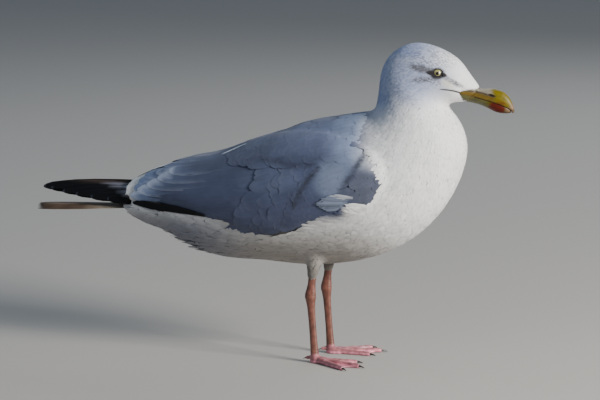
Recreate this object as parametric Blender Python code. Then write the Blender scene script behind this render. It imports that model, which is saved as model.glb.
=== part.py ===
"""A herring gull standing at rest on both feet, life size.

Metres, +Z up. The bird heads along +X and its right side is at -Y. The origin is on the floor,
midway between the tip of the bill and the end of the tail. Every piece is its own solid, and
neighbours keep a gap of GAP between them.
"""

import math

import bmesh
import bpy
from mathutils import Vector

MM = 0.001
GAP = 0.45 * MM

# Driving sizes of the bird, in millimetres.
BILL_TIP_X = 264.5
TAIL_END_X = -264.5
EYE_X, EYE_Z, EYE_SIDE = 184.5, 316.8, 17.4
EYE_RADIUS = 7.0
LEG_SIDE = 28.0
RIGHT_FOOT_X, LEFT_FOOT_X = 53.5, 57.5
ANKLE_HEIGHT, ANKLE_BACK = 73.0, 5.0
THIGH_END_HEIGHT = 93.0
TOE_HEIGHT = 8.0
SOLE = 1.5
WEB_TURN_STEPS = 5

RING_POINTS = 28
RIBS_BETWEEN = 1
BLADE_POINTS = 5
TAIL_POINTS = 20

# The body is a row of oval ribs, from the root of the tail to the root of the bill. Each rib is
# (top x, top z, bottom x, bottom z, half width), in millimetres, and lies in the plane through
# its top and bottom, square to the bird's middle plane.
BODY_RIBS = [
    (-168, 168, -164, 153, 22),
    (-140, 182, -141, 140.5, 31),
    (-110, 195, -112, 131.5, 40),
    (-80, 208, -86, 117, 47),
    (-45, 223, -52, 107, 53),
    (-5, 240, -5, 105.5, 59),
    (35, 258, 33, 102.6, 62),
    (70, 265.5, 75, 105, 63),
    (98, 270.5, 118, 115, 62),
    (109, 272, 157, 136, 59),
    (113.5, 275, 187, 166, 55.5),
    (115.5, 280.5, 206, 200, 50.5),
    (116.5, 287, 213.7, 232, 45.5),
    (117.5, 295, 209, 254, 41),
    (118.5, 304, 202, 266, 37),
    (120.5, 316, 193, 278, 34),
    (127, 330, 193.5, 281.5, 31),
    (141, 342, 197, 283, 28.5),
    (160, 347, 200.5, 284, 26.5),
    (183, 342, 204.5, 284.3, 23.5),
    (203, 331, 207.5, 284.5, 19),
    (214.7, 317, 209.5, 284.8, 14.5),
    (227.8, 300.2, 211.5, 285.2, 9.8),
]
TRUNK_RIB = 3
NECK_RIB = 11
HEAD_RIB = 15
LOW_BULGE = 0.07

# Ribs of the bill: (culmen x, z, mouth x, z, underside x, z, half width).
BILL_RIBS = [
    (228.0, 299.4, 220.5, 292.3, 212.5, 285.3, 8.8),
    (236.5, 299.8, 231.0, 289.2, 226.0, 282.8, 8.4),
    (245.0, 299.0, 240.0, 287.0, 235.5, 279.2, 7.8),
    (253.0, 296.3, 247.5, 284.4, 244.5, 275.0, 7.0),
    (259.0, 290.4, 253.6, 282.0, 252.0, 273.9, 5.6),
    (262.4, 284.2, 258.2, 279.8, 257.6, 273.9, 3.9),
]
# The hook carries on from the last rib, in front of the lower mandible's own end. Ribs of both
# ends: (outer edge x, z, mouth x, z, half width).
HOOK_RIBS = [(264.2, 279.0, 261.4, 277.7, 2.7), (BILL_TIP_X, 275.4, 262.6, 274.1, 1.3)]
LOWER_END_RIBS = [(259.9, 274.3, 259.2, 278.1, 2.4), (261.2, 275.3, 260.9, 276.8, 1.0)]
MOUTH_BACK = 1.2
LOWER_WIDTH = 0.9
NOSTRIL = {"x": 240.6, "z": 293.4, "long": 4.6, "tall": 1.1, "deep": 2.2, "side": 7.3,
           "tilt": 14}

# Ribs of the folded wing along X: (x, upper edge z, lower edge z, half width of the bird here,
# depth of the wing into the bird). The bird's top and bottom at x set the oval it lies on.
WING_RIBS = [
    (138, 211, 203, 59.0, 6),
    (131, 226, 190, 62.5, 10),
    (118, 239, 177, 66.0, 12),
    (98, 248, 170, 68.5, 13),
    (70, 253, 161, 70.0, 14),
    (40, 253, 152, 70.0, 14),
    (12, 249, 142, 68.5, 14),
    (-28, 236, 150, 63.5, 13),
    (-60, 222.5, 160, 57.0, 12),
    (-85, 218, 166, 50.5, 11),
    (-110, 211, 168.5, 43.0, 9),
    (-135, 202, 168, 35.0, 6.5),
    (-155, 192, 169, 28.0, 5),
    (-161, 185, 173, 25.0, 4),
]
# The bird's silhouette along X over the wings: (x, top z, bottom z).
OUTLINE = [
    (138, 277, 124),
    (98, 271.5, 109),
    (48, 261.5, 103),
    (3, 248, 105.5),
    (-45, 229.5, 107),
    (-79, 220.5, 115),
    (-102, 214.8, 128),
    (-134, 203.8, 138),
    (-161, 190.5, 152),
]

# Ribs of the folded primaries: (x, upper y, z, lower y, z), y being the distance from the middle.
PRIMARY_RIBS = [
    (-72, 36.5, 171, 44.0, 157.5),
    (-100, 28.5, 178.5, 38.5, 159.5),
    (-130, 17.0, 187.0, 30.0, 163.5),
    (-158, 8.5, 188.5, 22.5, 167.5),
    (-195, 4.5, 187.0, 15.5, 166.8),
    (-230, 3.5, 183.0, 9.5, 169.0),
    (-250, 3.0, 180.3, 5.5, 173.8),
    (-259.5, 2.8, 178.4, 3.6, 176.6),
]
PRIMARY_THICK = 2.4

# Ribs of the tail: (x, half width, middle z, drop of the edges, thickness).
TAIL_RIBS = [
    (-168.5, 21.0, 160.2, 1.2, 7.0),
    (-185, 22.5, 159.3, 1.8, 4.6),
    (-225, 25.5, 157.9, 2.2, 3.0),
    (-256, 28.0, 157.0, 2.4, 2.2),
    (-262, 26.5, 156.8, 2.3, 1.8),
    (TAIL_END_X, 21.0, 156.7, 2.0, 1.4),
]

# Level ribs of the legs, downwards: (height, front to back, side to side).
THIGH_RIBS = [(124, 36, 28), (114, 25, 20), (106, 16.5, 14.5), (99, 13, 11.5),
              (THIGH_END_HEIGHT, 11.5, 10)]
SHANK_RIBS = [
    (THIGH_END_HEIGHT - GAP / MM, 8.8, 7.0), (86, 8.6, 6.8), (80, 10.2, 7.8), (75, 12.0, 9.0),
    (71, 12.4, 9.2), (67, 10.6, 7.8), (60, 8.8, 6.4), (45, 8.0, 5.6), (28, 8.0, 5.6),
    (16, 8.6, 6.4), (TOE_HEIGHT + GAP / MM, 9.4, 8.0),
]
THIGH_SLOPE = 0.12

# Level ribs of the pad where the toes meet: (height, front to back, side to side, forward).
PAD_RIBS = [(-2, 22, 12, 5.5), (3.4, 20, 11, 5), (TOE_HEIGHT, 9.6, 8.4, 0)]
HUB_AHEAD = 3.0

# Toes: name: (angle outwards in degrees, length, radius at the root, radius at the claw).
TOES = {
    "outer": (43, 49, 3.3, 2.3),
    "middle": (19, 53, 3.6, 2.4),
    "inner": (-8, 43, 3.2, 2.2),
}
TOE_STEPS, TOE_SWELL, TOE_ROOT_LIFT, TOE_FLATNESS = 6, 0.25, 1.5, 0.72
CLAW_LENGTH, CLAW_RADIUS, CLAW_TIP_RADIUS = 8.0, 1.7, 0.35
CLAW_EMBED, CLAW_STEPS, CLAW_HEIGHT = 0.15, 4, 0.85
HIND_TOE = {"length": 8.0, "root": 2.4, "tip": 1.8, "z": 5.5, "droop": 1.2, "angle": 168,
            "claw_size": 0.62, "claw_drop": 1.6}
WEB_SCOOP, WEB_INSET, WEB_BELOW = 0.82, 1.5, 0.3

WHITE = ("plumage_white", (0.80, 0.80, 0.80), 0.75)
GREY = ("plumage_grey", (0.30, 0.33, 0.39), 0.7)
BLACK = ("plumage_black", (0.02, 0.02, 0.022), 0.5)
TAIL = ("plumage_tail", (0.50, 0.42, 0.34), 0.7)
HORN = ("bill_horn", (0.62, 0.48, 0.12), 0.35)
IRIS = ("eye", (0.75, 0.68, 0.36), 0.1)
FLESH = ("leg_skin", (0.62, 0.36, 0.32), 0.5)
CLAW = ("claw_horn", (0.03, 0.025, 0.022), 0.35)


def clear_scene():
    for obj in list(bpy.data.objects):
        bpy.data.objects.remove(obj)


def collection(name):
    made = bpy.data.collections.new(name)
    bpy.context.scene.collection.children.link(made)
    return made


def material(finish):
    name, colour, roughness = finish
    mat = bpy.data.materials.get(name) or bpy.data.materials.new(name)
    mat.use_nodes = True
    shader = mat.node_tree.nodes["Principled BSDF"]
    shader.inputs["Base Color"].default_value = (*colour, 1)
    shader.inputs["Roughness"].default_value = roughness
    shader.inputs["Metallic"].default_value = 0.0
    return mat


def add(name, mesh, finish, into):
    obj = bpy.data.objects.new(name, mesh)
    into.objects.link(obj)
    if finish:
        mesh.materials.append(material(finish))
        mesh.shade_smooth()
        mesh.set_sharp_from_angle(angle=math.radians(50))
    return obj


def smooth_rows(rows, between):
    """The rows with `between` more set in each interval, on a Catmull-Rom curve through them all."""
    rows = [tuple(map(float, r)) for r in rows]
    found = []
    for i in range(len(rows) - 1):
        a = rows[max(i - 1, 0)]
        b, c = rows[i], rows[i + 1]
        d = rows[min(i + 2, len(rows) - 1)]
        for k in range(between + 1):
            t = k / (between + 1)
            found.append(
                tuple(
                    0.5 * (2 * q + (r - p) * t + (2 * p - 5 * q + 4 * r - s) * t**2
                           + (3 * q - p - 3 * r + s) * t**3)
                    for p, q, r, s in zip(a, b, c, d)
                )
            )
    return found + [rows[-1]]


def at_x(rows, x):
    """The row at x, read straight between the two rows round it. Rows run from high x to low x."""
    for a, b in zip(rows, rows[1:]):
        if b[0] <= x:
            t = (a[0] - x) / (a[0] - b[0])
            return [p + (q - p) * t for p, q in zip(a, b)]
    return list(rows[-1])


def loft(rings):
    """A closed mesh through rings with equal numbers of points, in millimetres, capped at both ends."""
    bm = bmesh.new()
    loops = [[bm.verts.new(Vector(p) * MM) for p in ring] for ring in rings]
    for one, other in zip(loops, loops[1:]):
        for i in range(len(one)):
            j = (i + 1) % len(one)
            bm.faces.new((one[i], one[j], other[j], other[i]))
    bm.faces.new(loops[0])
    bm.faces.new(loops[-1])
    bmesh.ops.recalc_face_normals(bm, faces=bm.faces)
    mesh = bpy.data.meshes.new("loft")
    bm.to_mesh(mesh)
    bm.free()
    return mesh


def body_ring(rib):
    top, bottom, half_width = Vector((rib[0], 0, rib[1])), Vector((rib[2], 0, rib[3])), rib[4]
    middle, up = (top + bottom) / 2, (top - bottom) / 2
    ring = []
    for i in range(RING_POINTS):
        turn = 2 * math.pi * i / RING_POINTS
        wide = half_width * math.sin(turn) * (1 - LOW_BULGE * math.cos(turn))
        ring.append(middle + up * math.cos(turn) + Vector((0, wide, 0)))
    return ring


def set_back(ring, towards):
    """The ring moved by half a gap towards a point, square to its own plane."""
    normal = (ring[1] - ring[0]).cross(ring[RING_POINTS // 2] - ring[0]).normalized()
    if normal.dot(Vector(towards) - ring[0]) < 0:
        normal = -normal
    return [p + normal * GAP / MM / 2 for p in ring]


def body_length(first, last):
    """The body's solid from one rib to another, each cut face standing back by half a gap."""
    rings = [body_ring(rib) for rib in smooth_rows(BODY_RIBS, RIBS_BETWEEN)]
    step = RIBS_BETWEEN + 1
    part = rings[first * step: last * step + 1]
    inside = sum(part[len(part) // 2], Vector()) / RING_POINTS
    if first > 0:
        part[0] = set_back(part[0], inside)
    part[-1] = set_back(part[-1], inside)
    return loft(part)


def grown(obj, into, by=GAP):
    """A cutter: the solid's own shape, larger by a gap all round."""
    bm = bmesh.new()
    bm.from_mesh(obj.data)
    bm.normal_update()
    for v in bm.verts:
        v.co += v.normal * by
    mesh = bpy.data.meshes.new(obj.name + "_room")
    bm.to_mesh(mesh)
    bm.free()
    return as_cutter(bpy.data.objects.new(obj.name + "_room", mesh), into)


def as_cutter(obj, into):
    if obj.name not in into.objects:
        into.objects.link(obj)
    obj.hide_render = True
    obj.display_type = "WIRE"
    return obj


def carve(obj, cutter, operation="DIFFERENCE"):
    cut = obj.modifiers.new(cutter.name, "BOOLEAN")
    cut.object = cutter
    cut.operation = operation
    return obj


def settle(obj):
    """The object with its modifiers applied, so that it can be a cutter of one solid itself."""
    graph = bpy.context.evaluated_depsgraph_get()
    mesh = bpy.data.meshes.new_from_object(obj.evaluated_get(graph))
    obj.modifiers.clear()
    obj.data = mesh
    return obj


def ball(centre, radius, scale=(1, 1, 1), segments=18, rings=10):
    bm = bmesh.new()
    bmesh.ops.create_uvsphere(bm, u_segments=segments, v_segments=rings, radius=radius * MM)
    for v in bm.verts:
        v.co = Vector((v.co.x * scale[0], v.co.y * scale[1], v.co.z * scale[2]))
        v.co += Vector(centre) * MM
    mesh = bpy.data.meshes.new("ball")
    bm.to_mesh(mesh)
    bm.free()
    return mesh


def make_body(parts, cutters):
    rump = add("rump", body_length(0, TRUNK_RIB), WHITE, parts)
    trunk = add("trunk", body_length(TRUNK_RIB, NECK_RIB), WHITE, parts)
    neck = add("neck", body_length(NECK_RIB, HEAD_RIB), WHITE, parts)
    head = add("head", body_length(HEAD_RIB, len(BODY_RIBS) - 1), WHITE, parts)
    for side, word in ((-1, "right"), (1, "left")):
        centre = (EYE_X, side * EYE_SIDE, EYE_Z)
        socket = bpy.data.objects.new(f"socket_{word}", ball(centre, EYE_RADIUS + GAP / MM))
        carve(head, as_cutter(socket, cutters))
        add(f"eye_{word}", ball(centre, EYE_RADIUS), IRIS, parts)
    return rump, trunk, head


def arch_ring(crest, edge, half_width, points=9):
    """A ring with an arch from edge over crest to the other edge, and a flat side between them."""
    crest, edge = Vector((crest[0], 0, crest[1])), Vector((edge[0], 0, edge[1]))
    ring = []
    for i in range(points):
        turn = math.pi * i / (points - 1)
        wide = Vector((0, half_width * math.cos(turn), 0))
        ring.append(edge + (crest - edge) * math.sin(turn) ** 0.9 + wide)
    return ring


def make_bill(parts, cutters, head):
    room = grown(head, cutters)
    half_gap = GAP / MM / 2
    ribs = smooth_rows(BILL_RIBS, 1)
    upper = [arch_ring((r[0], r[1]), (r[2], r[3] + half_gap), r[6]) for r in ribs]
    upper += [arch_ring((r[0], r[1]), (r[2], r[3]), r[4]) for r in HOOK_RIBS]
    lower = [arch_ring((r[4], r[5]), (r[2] - MOUTH_BACK, r[3] - half_gap), r[6] * LOWER_WIDTH)
             for r in ribs]
    lower += [arch_ring((r[0], r[1]), (r[2], r[3]), r[4]) for r in LOWER_END_RIBS]
    top = add("bill_upper", loft(upper), HORN, parts)
    carve(top, room)
    carve(add("bill_lower", loft(lower), HORN, parts), room)
    for side, word in ((-1, "right"), (1, "left")):
        shape = ball((0, 0, 0), 1.0, (NOSTRIL["long"], NOSTRIL["deep"], NOSTRIL["tall"]), 10, 6)
        slit = bpy.data.objects.new(f"nostril_{word}", shape)
        slit.location = Vector((NOSTRIL["x"], side * NOSTRIL["side"], NOSTRIL["z"])) * MM
        slit.rotation_euler.y = math.radians(NOSTRIL["tilt"])
        carve(top, as_cutter(slit, cutters))


def wing_ring(rib, side):
    """One rib of a wing: an outer arc on the bird's oval and an inner one set in by the depth."""
    x, upper, lower, half_width, depth = rib
    _, top, bottom = at_x(smooth_rows(OUTLINE, 3), x)
    middle, tall = (top + bottom) / 2, (top - bottom) / 2
    start = math.acos(min(1, (upper - middle) / tall))
    end = math.acos((lower - middle) / tall)
    outer, inner = [], []
    for i in range(BLADE_POINTS * 2 + 1):
        t = i / (BLADE_POINTS * 2)
        turn = start + (end - start) * t
        edge = abs(2 * t - 1) ** 5
        out = 2.2 * edge
        deep = depth - (depth - out - 2.2) * edge * 0.8
        outer.append((x, side * (half_width - out) * math.sin(turn),
                      middle + (tall - out * 0.5) * math.cos(turn)))
        inner.append((x, side * max(half_width - deep, 1) * math.sin(turn),
                      middle + (tall - deep) * math.cos(turn)))
    return outer + inner[::-1]


def make_wings(parts, rooms, cutters):
    for side, word in ((-1, "right"), (1, "left")):
        wing = add(f"wing_{word}", loft([wing_ring(r, side) for r in WING_RIBS]), GREY, parts)
        wing_room = grown(wing, cutters)
        for room in rooms:
            carve(wing, room)
        blade = add(f"primaries_{word}", loft([primary_ring(r, side) for r in
                                               smooth_rows(PRIMARY_RIBS, 1)]), BLACK, parts)
        for room in rooms + [wing_room]:
            carve(blade, room)


def primary_ring(rib, side):
    x, upper_y, upper_z, lower_y, lower_z = rib
    upper, lower = Vector((x, upper_y, upper_z)), Vector((x, lower_y, lower_z))
    along = lower - upper
    out = Vector((0, -along.z, along.y)).normalized()
    thick = min(PRIMARY_THICK, along.length * 0.4)
    ring = []
    for i in range(BLADE_POINTS * 2):
        turn = 2 * math.pi * i / (BLADE_POINTS * 2)
        p = (upper + lower) / 2 + along / 2 * math.cos(turn) + out * thick / 2 * math.sin(turn)
        ring.append((p.x, side * p.y, p.z))
    return ring


def make_tail(parts):
    rings = []
    for x, half_width, z, drop, thick in smooth_rows(TAIL_RIBS, 1):
        ring = []
        for i in range(TAIL_POINTS):
            turn = 2 * math.pi * i / TAIL_POINTS
            across = math.sin(turn)
            height = z - drop * across**2 + thick / 2 * math.cos(turn)
            ring.append((x, half_width * across, height))
        rings.append(ring)
    add("tail", loft(rings), TAIL, parts)


def limb_ring(x, y, z, deep, wide, points=12):
    """A level oval ring of a leg: deep from front to back, wide from side to side."""
    return [(x + deep / 2 * math.cos(2 * math.pi * i / points),
             y + wide / 2 * math.sin(2 * math.pi * i / points), z) for i in range(points)]


def leg_x(foot_x, z):
    """The leg leans back from the foot up to the ankle, and forward again above it."""
    if z < ANKLE_HEIGHT:
        return foot_x - ANKLE_BACK * (z - TOE_HEIGHT) / (ANKLE_HEIGHT - TOE_HEIGHT)
    return foot_x - ANKLE_BACK + THIGH_SLOPE * (z - ANKLE_HEIGHT)


def limb(ribs, foot_x, y):
    return loft([limb_ring(leg_x(foot_x, z), y, z, deep, wide) for z, deep, wide in ribs])


def make_leg(parts, cutters, trunk_room, side, word, foot_x):
    y = side * LEG_SIDE
    thigh = add(f"thigh_{word}", limb(THIGH_RIBS, foot_x, y), WHITE, parts)
    carve(thigh, trunk_room)
    add(f"shank_{word}", limb(SHANK_RIBS, foot_x, y), FLESH, parts)
    make_foot(parts, cutters, side, word, foot_x, y)


def tube(name, points, into):
    """A round tapering tube through (x, y, z, radius) points, as a mesh."""
    curve = bpy.data.curves.new(name, "CURVE")
    curve.dimensions = "3D"
    curve.bevel_depth = MM
    curve.bevel_resolution = 2
    curve.use_fill_caps = True
    spline = curve.splines.new("POLY")
    spline.points.add(len(points) - 1)
    for point, (x, y, z, radius) in zip(spline.points, points):
        point.co = (x * MM, y * MM, z * MM, 1)
        point.radius = radius
    guide = bpy.data.objects.new(name + "_guide", curve)
    into.objects.link(guide)
    return mesh_of(guide)


def mesh_of(guide, raised=0.0):
    """The closed mesh that a curve makes, raised by some millimetres. The curve is removed."""
    graph = bpy.context.evaluated_depsgraph_get()
    mesh = bpy.data.meshes.new_from_object(guide.evaluated_get(graph))
    bpy.data.objects.remove(guide)
    bm = bmesh.new()
    bm.from_mesh(mesh)
    bmesh.ops.remove_doubles(bm, verts=bm.verts, dist=1e-6)
    bmesh.ops.recalc_face_normals(bm, faces=bm.faces)
    bmesh.ops.translate(bm, verts=bm.verts, vec=(0, 0, raised * MM))
    bm.to_mesh(mesh)
    bm.free()
    return mesh


def stand_flat(foot):
    """Cuts away what is below the floor and closes the cut with one level sole."""
    bm = bmesh.new()
    bm.from_mesh(foot.data)
    every = bm.verts[:] + bm.edges[:] + bm.faces[:]
    bmesh.ops.bisect_plane(bm, geom=every, dist=1e-7, plane_co=(0, 0, 0), plane_no=(0, 0, 1),
                           clear_inner=True)
    bmesh.ops.remove_doubles(bm, verts=bm.verts, dist=1e-6)
    rim = [e for e in bm.edges if e.is_boundary]
    bmesh.ops.triangle_fill(bm, edges=rim, use_beauty=True)
    bmesh.ops.recalc_face_normals(bm, faces=bm.faces)
    bm.to_mesh(foot.data)
    bm.free()


def web_outline(hub, ends):
    """The web's edge: out along the outer toe, scooped between the toes, and back to the hub."""
    points = [hub]
    for one, other in zip(ends, ends[1:]):
        for i in range(WEB_TURN_STEPS):
            t = i / WEB_TURN_STEPS
            straight = one.lerp(other, t)
            pull = (1 - WEB_SCOOP) * 4 * t * (1 - t)
            points.append(straight.lerp(hub, pull))
    return points + [ends[-1]]


def make_web(word, hub, ends, into):
    """A level sheet between the toes, from under the floor up to the sole's thickness."""
    curve = bpy.data.curves.new("web", "CURVE")
    curve.dimensions = "2D"
    curve.fill_mode = "BOTH"
    curve.extrude = SOLE / 2 * MM
    outline = web_outline(hub, ends)
    line = curve.splines.new("POLY")
    line.points.add(len(outline) - 1)
    for point, place in zip(line.points, outline):
        point.co = (place.x * MM, place.y * MM, 0, 1)
    line.use_cyclic_u = True
    guide = bpy.data.objects.new("web_guide", curve)
    into.objects.link(guide)
    mesh = mesh_of(guide, SOLE / 2 - WEB_BELOW)
    return as_cutter(bpy.data.objects.new(f"web_{word}", mesh), into)


def toe_points(hub, ahead, length, root, tip):
    """A toe's (x, y, z, radius) points, with three swellings where its joints are."""
    points = []
    for i in range(TOE_STEPS + 1):
        t = i / TOE_STEPS
        swell = TOE_SWELL * abs(math.sin(3 * math.pi * t)) if i else 0
        radius = root + (tip - root) * t + swell
        place = hub + ahead * (length * t)
        rise = radius * TOE_FLATNESS + TOE_ROOT_LIFT * (1 - t) ** 4
        points.append((place.x, place.y, rise, radius))
    return points


def make_claw(name, end, ahead, low, drop, size, room, parts, cutters):
    """A claw that bends down from height low by drop, its root set a little into the toe."""
    bends = []
    for i in range(CLAW_STEPS + 1):
        t = i / CLAW_STEPS
        place = end + ahead * (CLAW_LENGTH * size * (t - CLAW_EMBED))
        radius = (CLAW_RADIUS + (CLAW_TIP_RADIUS - CLAW_RADIUS) * t) * size
        bends.append((place.x, place.y, low - drop * t**2, radius))
    carve(add(name, tube(name, bends, cutters), CLAW, parts), room)


def heading(degrees):
    turn = math.radians(degrees)
    return Vector((math.cos(turn), math.sin(turn)))


def make_foot(parts, cutters, side, word, foot_x, y):
    hub = Vector((foot_x + HUB_AHEAD, y))
    pad = loft([limb_ring(foot_x + shift, y, z, deep, wide) for z, deep, wide, shift in PAD_RIBS])
    foot = add(f"foot_{word}", pad, FLESH, parts)
    web_ends, claws = [], []
    for toe, (angle, length, root, tip) in TOES.items():
        ahead = heading(side * angle)
        web_ends.append(hub + ahead * (length - WEB_INSET))
        mesh = tube(f"toe_{toe}_{word}", toe_points(hub, ahead, length, root, tip), cutters)
        carve(foot, as_cutter(bpy.data.objects.new(f"toe_{toe}_{word}", mesh), cutters), "UNION")
        low = tip * CLAW_HEIGHT
        claws.append((toe, hub + ahead * length, ahead, low, low - CLAW_TIP_RADIUS - 0.1, 1.0))
    carve(foot, make_web(word, hub, web_ends, cutters), "UNION")
    back = heading(-side * HIND_TOE["angle"])
    root = Vector((foot_x, y)) + back * 2.0
    end = root + back * HIND_TOE["length"]
    low = HIND_TOE["z"] - HIND_TOE["droop"]
    mesh = tube(f"toe_hind_{word}", [(root.x, root.y, HIND_TOE["z"], HIND_TOE["root"]),
                                     (end.x, end.y, low, HIND_TOE["tip"])], cutters)
    carve(foot, as_cutter(bpy.data.objects.new(f"toe_hind_{word}", mesh), cutters), "UNION")
    claws.append(("hind", end, back, low, HIND_TOE["claw_drop"], HIND_TOE["claw_size"]))
    settle(foot)
    stand_flat(foot)
    room = grown(foot, cutters)
    for toe, end, ahead, low, drop, size in claws:
        make_claw(f"claw_{toe}_{word}", end, ahead, low, drop, size, room, parts, cutters)


def main():
    clear_scene()
    parts, cutters = collection("herring_gull"), collection("cutters")
    rump, trunk, head = make_body(parts, cutters)
    make_bill(parts, cutters, head)
    trunk_room = grown(trunk, cutters)
    make_wings(parts, [grown(rump, cutters), trunk_room], cutters)
    make_tail(parts)
    make_leg(parts, cutters, trunk_room, -1, "right", RIGHT_FOOT_X)
    make_leg(parts, cutters, trunk_room, 1, "left", LEFT_FOOT_X)


main()
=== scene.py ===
# %% [markdown]
# # A herring gull, standing
#
# This is a life-size gull at rest, as a museum shows one. A bird is a smooth body under
# thousands of small overlapping feathers, and it is made that way here. First comes one skin, a
# few millimetres inside the bird's outline, and then a coat of feathers is laid over it. Bill,
# eyes and claws are hard pieces of their own.
#
# Places on the bird are millimetres in the frame of the solids. Those of folds, marks and rows of
# feathers are listed as fixed numbers, so they don't follow the solids if those change.

import math

import bmesh
import bpy
import numpy as np
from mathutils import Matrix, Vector
from mathutils.bvhtree import BVHTree


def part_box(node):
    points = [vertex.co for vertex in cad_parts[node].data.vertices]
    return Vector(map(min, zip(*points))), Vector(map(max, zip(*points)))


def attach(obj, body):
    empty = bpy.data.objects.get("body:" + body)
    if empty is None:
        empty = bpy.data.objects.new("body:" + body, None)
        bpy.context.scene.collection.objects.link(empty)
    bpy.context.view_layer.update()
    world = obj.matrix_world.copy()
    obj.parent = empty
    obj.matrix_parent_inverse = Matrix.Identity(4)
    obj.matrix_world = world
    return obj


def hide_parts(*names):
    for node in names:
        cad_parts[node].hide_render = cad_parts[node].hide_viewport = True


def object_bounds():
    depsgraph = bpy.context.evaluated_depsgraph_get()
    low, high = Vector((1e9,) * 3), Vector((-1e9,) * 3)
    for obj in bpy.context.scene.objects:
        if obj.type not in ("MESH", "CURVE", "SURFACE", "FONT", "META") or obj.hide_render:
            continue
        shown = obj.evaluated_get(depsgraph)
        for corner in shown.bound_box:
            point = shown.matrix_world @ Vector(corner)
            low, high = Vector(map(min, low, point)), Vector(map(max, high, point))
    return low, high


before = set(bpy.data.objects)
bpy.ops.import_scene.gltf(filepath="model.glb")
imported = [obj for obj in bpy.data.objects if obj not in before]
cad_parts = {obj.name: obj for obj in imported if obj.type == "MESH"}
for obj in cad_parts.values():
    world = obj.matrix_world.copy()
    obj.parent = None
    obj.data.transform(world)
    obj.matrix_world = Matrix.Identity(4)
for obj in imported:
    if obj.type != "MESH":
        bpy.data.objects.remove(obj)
cad_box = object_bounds()
MM = 0.001
SIDES = ((-1, "right"), (1, "left"))
dice = np.random.default_rng(411)
print("the solids' box, mm:", [[round(c / MM, 1) for c in corner] for corner in cad_box])

# %% [markdown]
# ## Camera
#
# The bird is seen from its right side, a little from the front and a little from above. A long
# lens from four metres keeps its proportions true, as a bird watcher's lens does.

# %% Camera
SEEN_FROM, SEEN_ABOVE = math.radians(14), math.radians(9)
CAMERA_DISTANCE, FRAME_WIDTH, SENSOR = 4.0, 0.648, 36.0
AIM_OFF_CENTRE = Vector((0.0302, 0, -0.0015))

aim = (cad_box[0] + cad_box[1]) / 2 + AIM_OFF_CENTRE
to_camera = Vector((math.sin(SEEN_FROM) * math.cos(SEEN_ABOVE),
                    -math.cos(SEEN_FROM) * math.cos(SEEN_ABOVE), math.sin(SEEN_ABOVE)))
lens = bpy.data.cameras.new("camera")
lens.sensor_width = SENSOR
lens.lens = SENSOR * CAMERA_DISTANCE / FRAME_WIDTH
camera = bpy.data.objects.new("camera", lens)
camera.location = aim + to_camera * CAMERA_DISTANCE
camera.rotation_euler = to_camera.to_track_quat("Z", "Y").to_euler()
bpy.context.scene.collection.objects.link(camera)
bpy.context.scene.camera = camera
print("camera at", [round(c, 2) for c in camera.location], "lens", round(lens.lens), "mm")

# %% [markdown]
# ## Floor and light
#
# A plain pale floor and soft lamps. The main lamp stands high in front of the bird, a little to
# its right, so that forehead and breast are bright and the folded wing turns away from it. Weak
# lamps on the other sides keep the shadows open.

# %% Floor and light
FLOOR_SIZE, FLOOR_DROP = 12.0, 0.0004

bpy.ops.object.select_all(action="DESELECT")
bpy.ops.mesh.primitive_plane_add(size=FLOOR_SIZE, location=(0, 0, -FLOOR_DROP))
floor = bpy.context.object
floor.name = "floor"
pale = bpy.data.materials.new("floor_paint")
pale.use_nodes = True
pale.node_tree.nodes["Principled BSDF"].inputs["Base Color"].default_value = (0.43, 0.405, 0.37, 1)
pale.node_tree.nodes["Principled BSDF"].inputs["Roughness"].default_value = 0.9
floor.data.materials.append(pale)


def lamp(name, place, size, power, colour):
    """A square soft lamp at a place, facing the bird."""
    data = bpy.data.lights.new(name, "AREA")
    data.size, data.energy, data.color = size, power, colour
    made = bpy.data.objects.new(name, data)
    made.location = place
    made.rotation_euler = (Vector(place) - aim).to_track_quat("Z", "Y").to_euler()
    bpy.context.scene.collection.objects.link(made)


lamp("lamp_front", (2.35, -1.0, 1.15), 0.8, 135, (1.0, 0.97, 0.93))
lamp("lamp_side", (-0.4, -2.3, 1.5), 1.5, 5, (0.80, 0.90, 1.0))
lamp("lamp_left", (0.4, 2.2, 1.5), 1.5, 14, (0.90, 0.95, 1.0))
lamp("lamp_behind", (-2.0, 0.6, 1.4), 1.5, 7, (0.80, 0.90, 1.0))
world = bpy.data.worlds.new("studio")
bpy.context.scene.world = world
world.use_nodes = True
world.node_tree.nodes["Background"].inputs["Color"].default_value = (0.62, 0.78, 1.0, 1)
world.node_tree.nodes["Background"].inputs["Strength"].default_value = 0.26

# %% [markdown]
# ## The form
#
# The solids give the bird's true outline, out to the tips of its feathers. Copies of the solids
# of flesh and folded wing are joined and remeshed into one closed surface, the form. It is a
# helper that isn't shown, and the skin is made from it. The feathers are laid on a bed, which is
# the form with two things added. The bare shanks let the thighs' feathers lie on over their
# tops, and a bridge closes the valley between the folded wings, as the feathers there do.


# %% The form
def new_object(name, mesh):
    """A new object of a mesh, in the scene."""
    made = bpy.data.objects.new(name, mesh)
    bpy.context.scene.collection.objects.link(made)
    return made


def object_of(shape, name):
    """A new object of a bmesh, which is freed."""
    mesh = bpy.data.meshes.new(name)
    shape.to_mesh(mesh)
    shape.free()
    return new_object(name, mesh)


def merged_copy(nodes, name):
    """One new object that holds copies of these CAD nodes' meshes, with their doubles merged."""
    shape = bmesh.new()
    for node in nodes:
        shape.from_mesh(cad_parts[node].data)
    bmesh.ops.remove_doubles(shape, verts=shape.verts, dist=1e-6)
    return object_of(shape, name)


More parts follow.
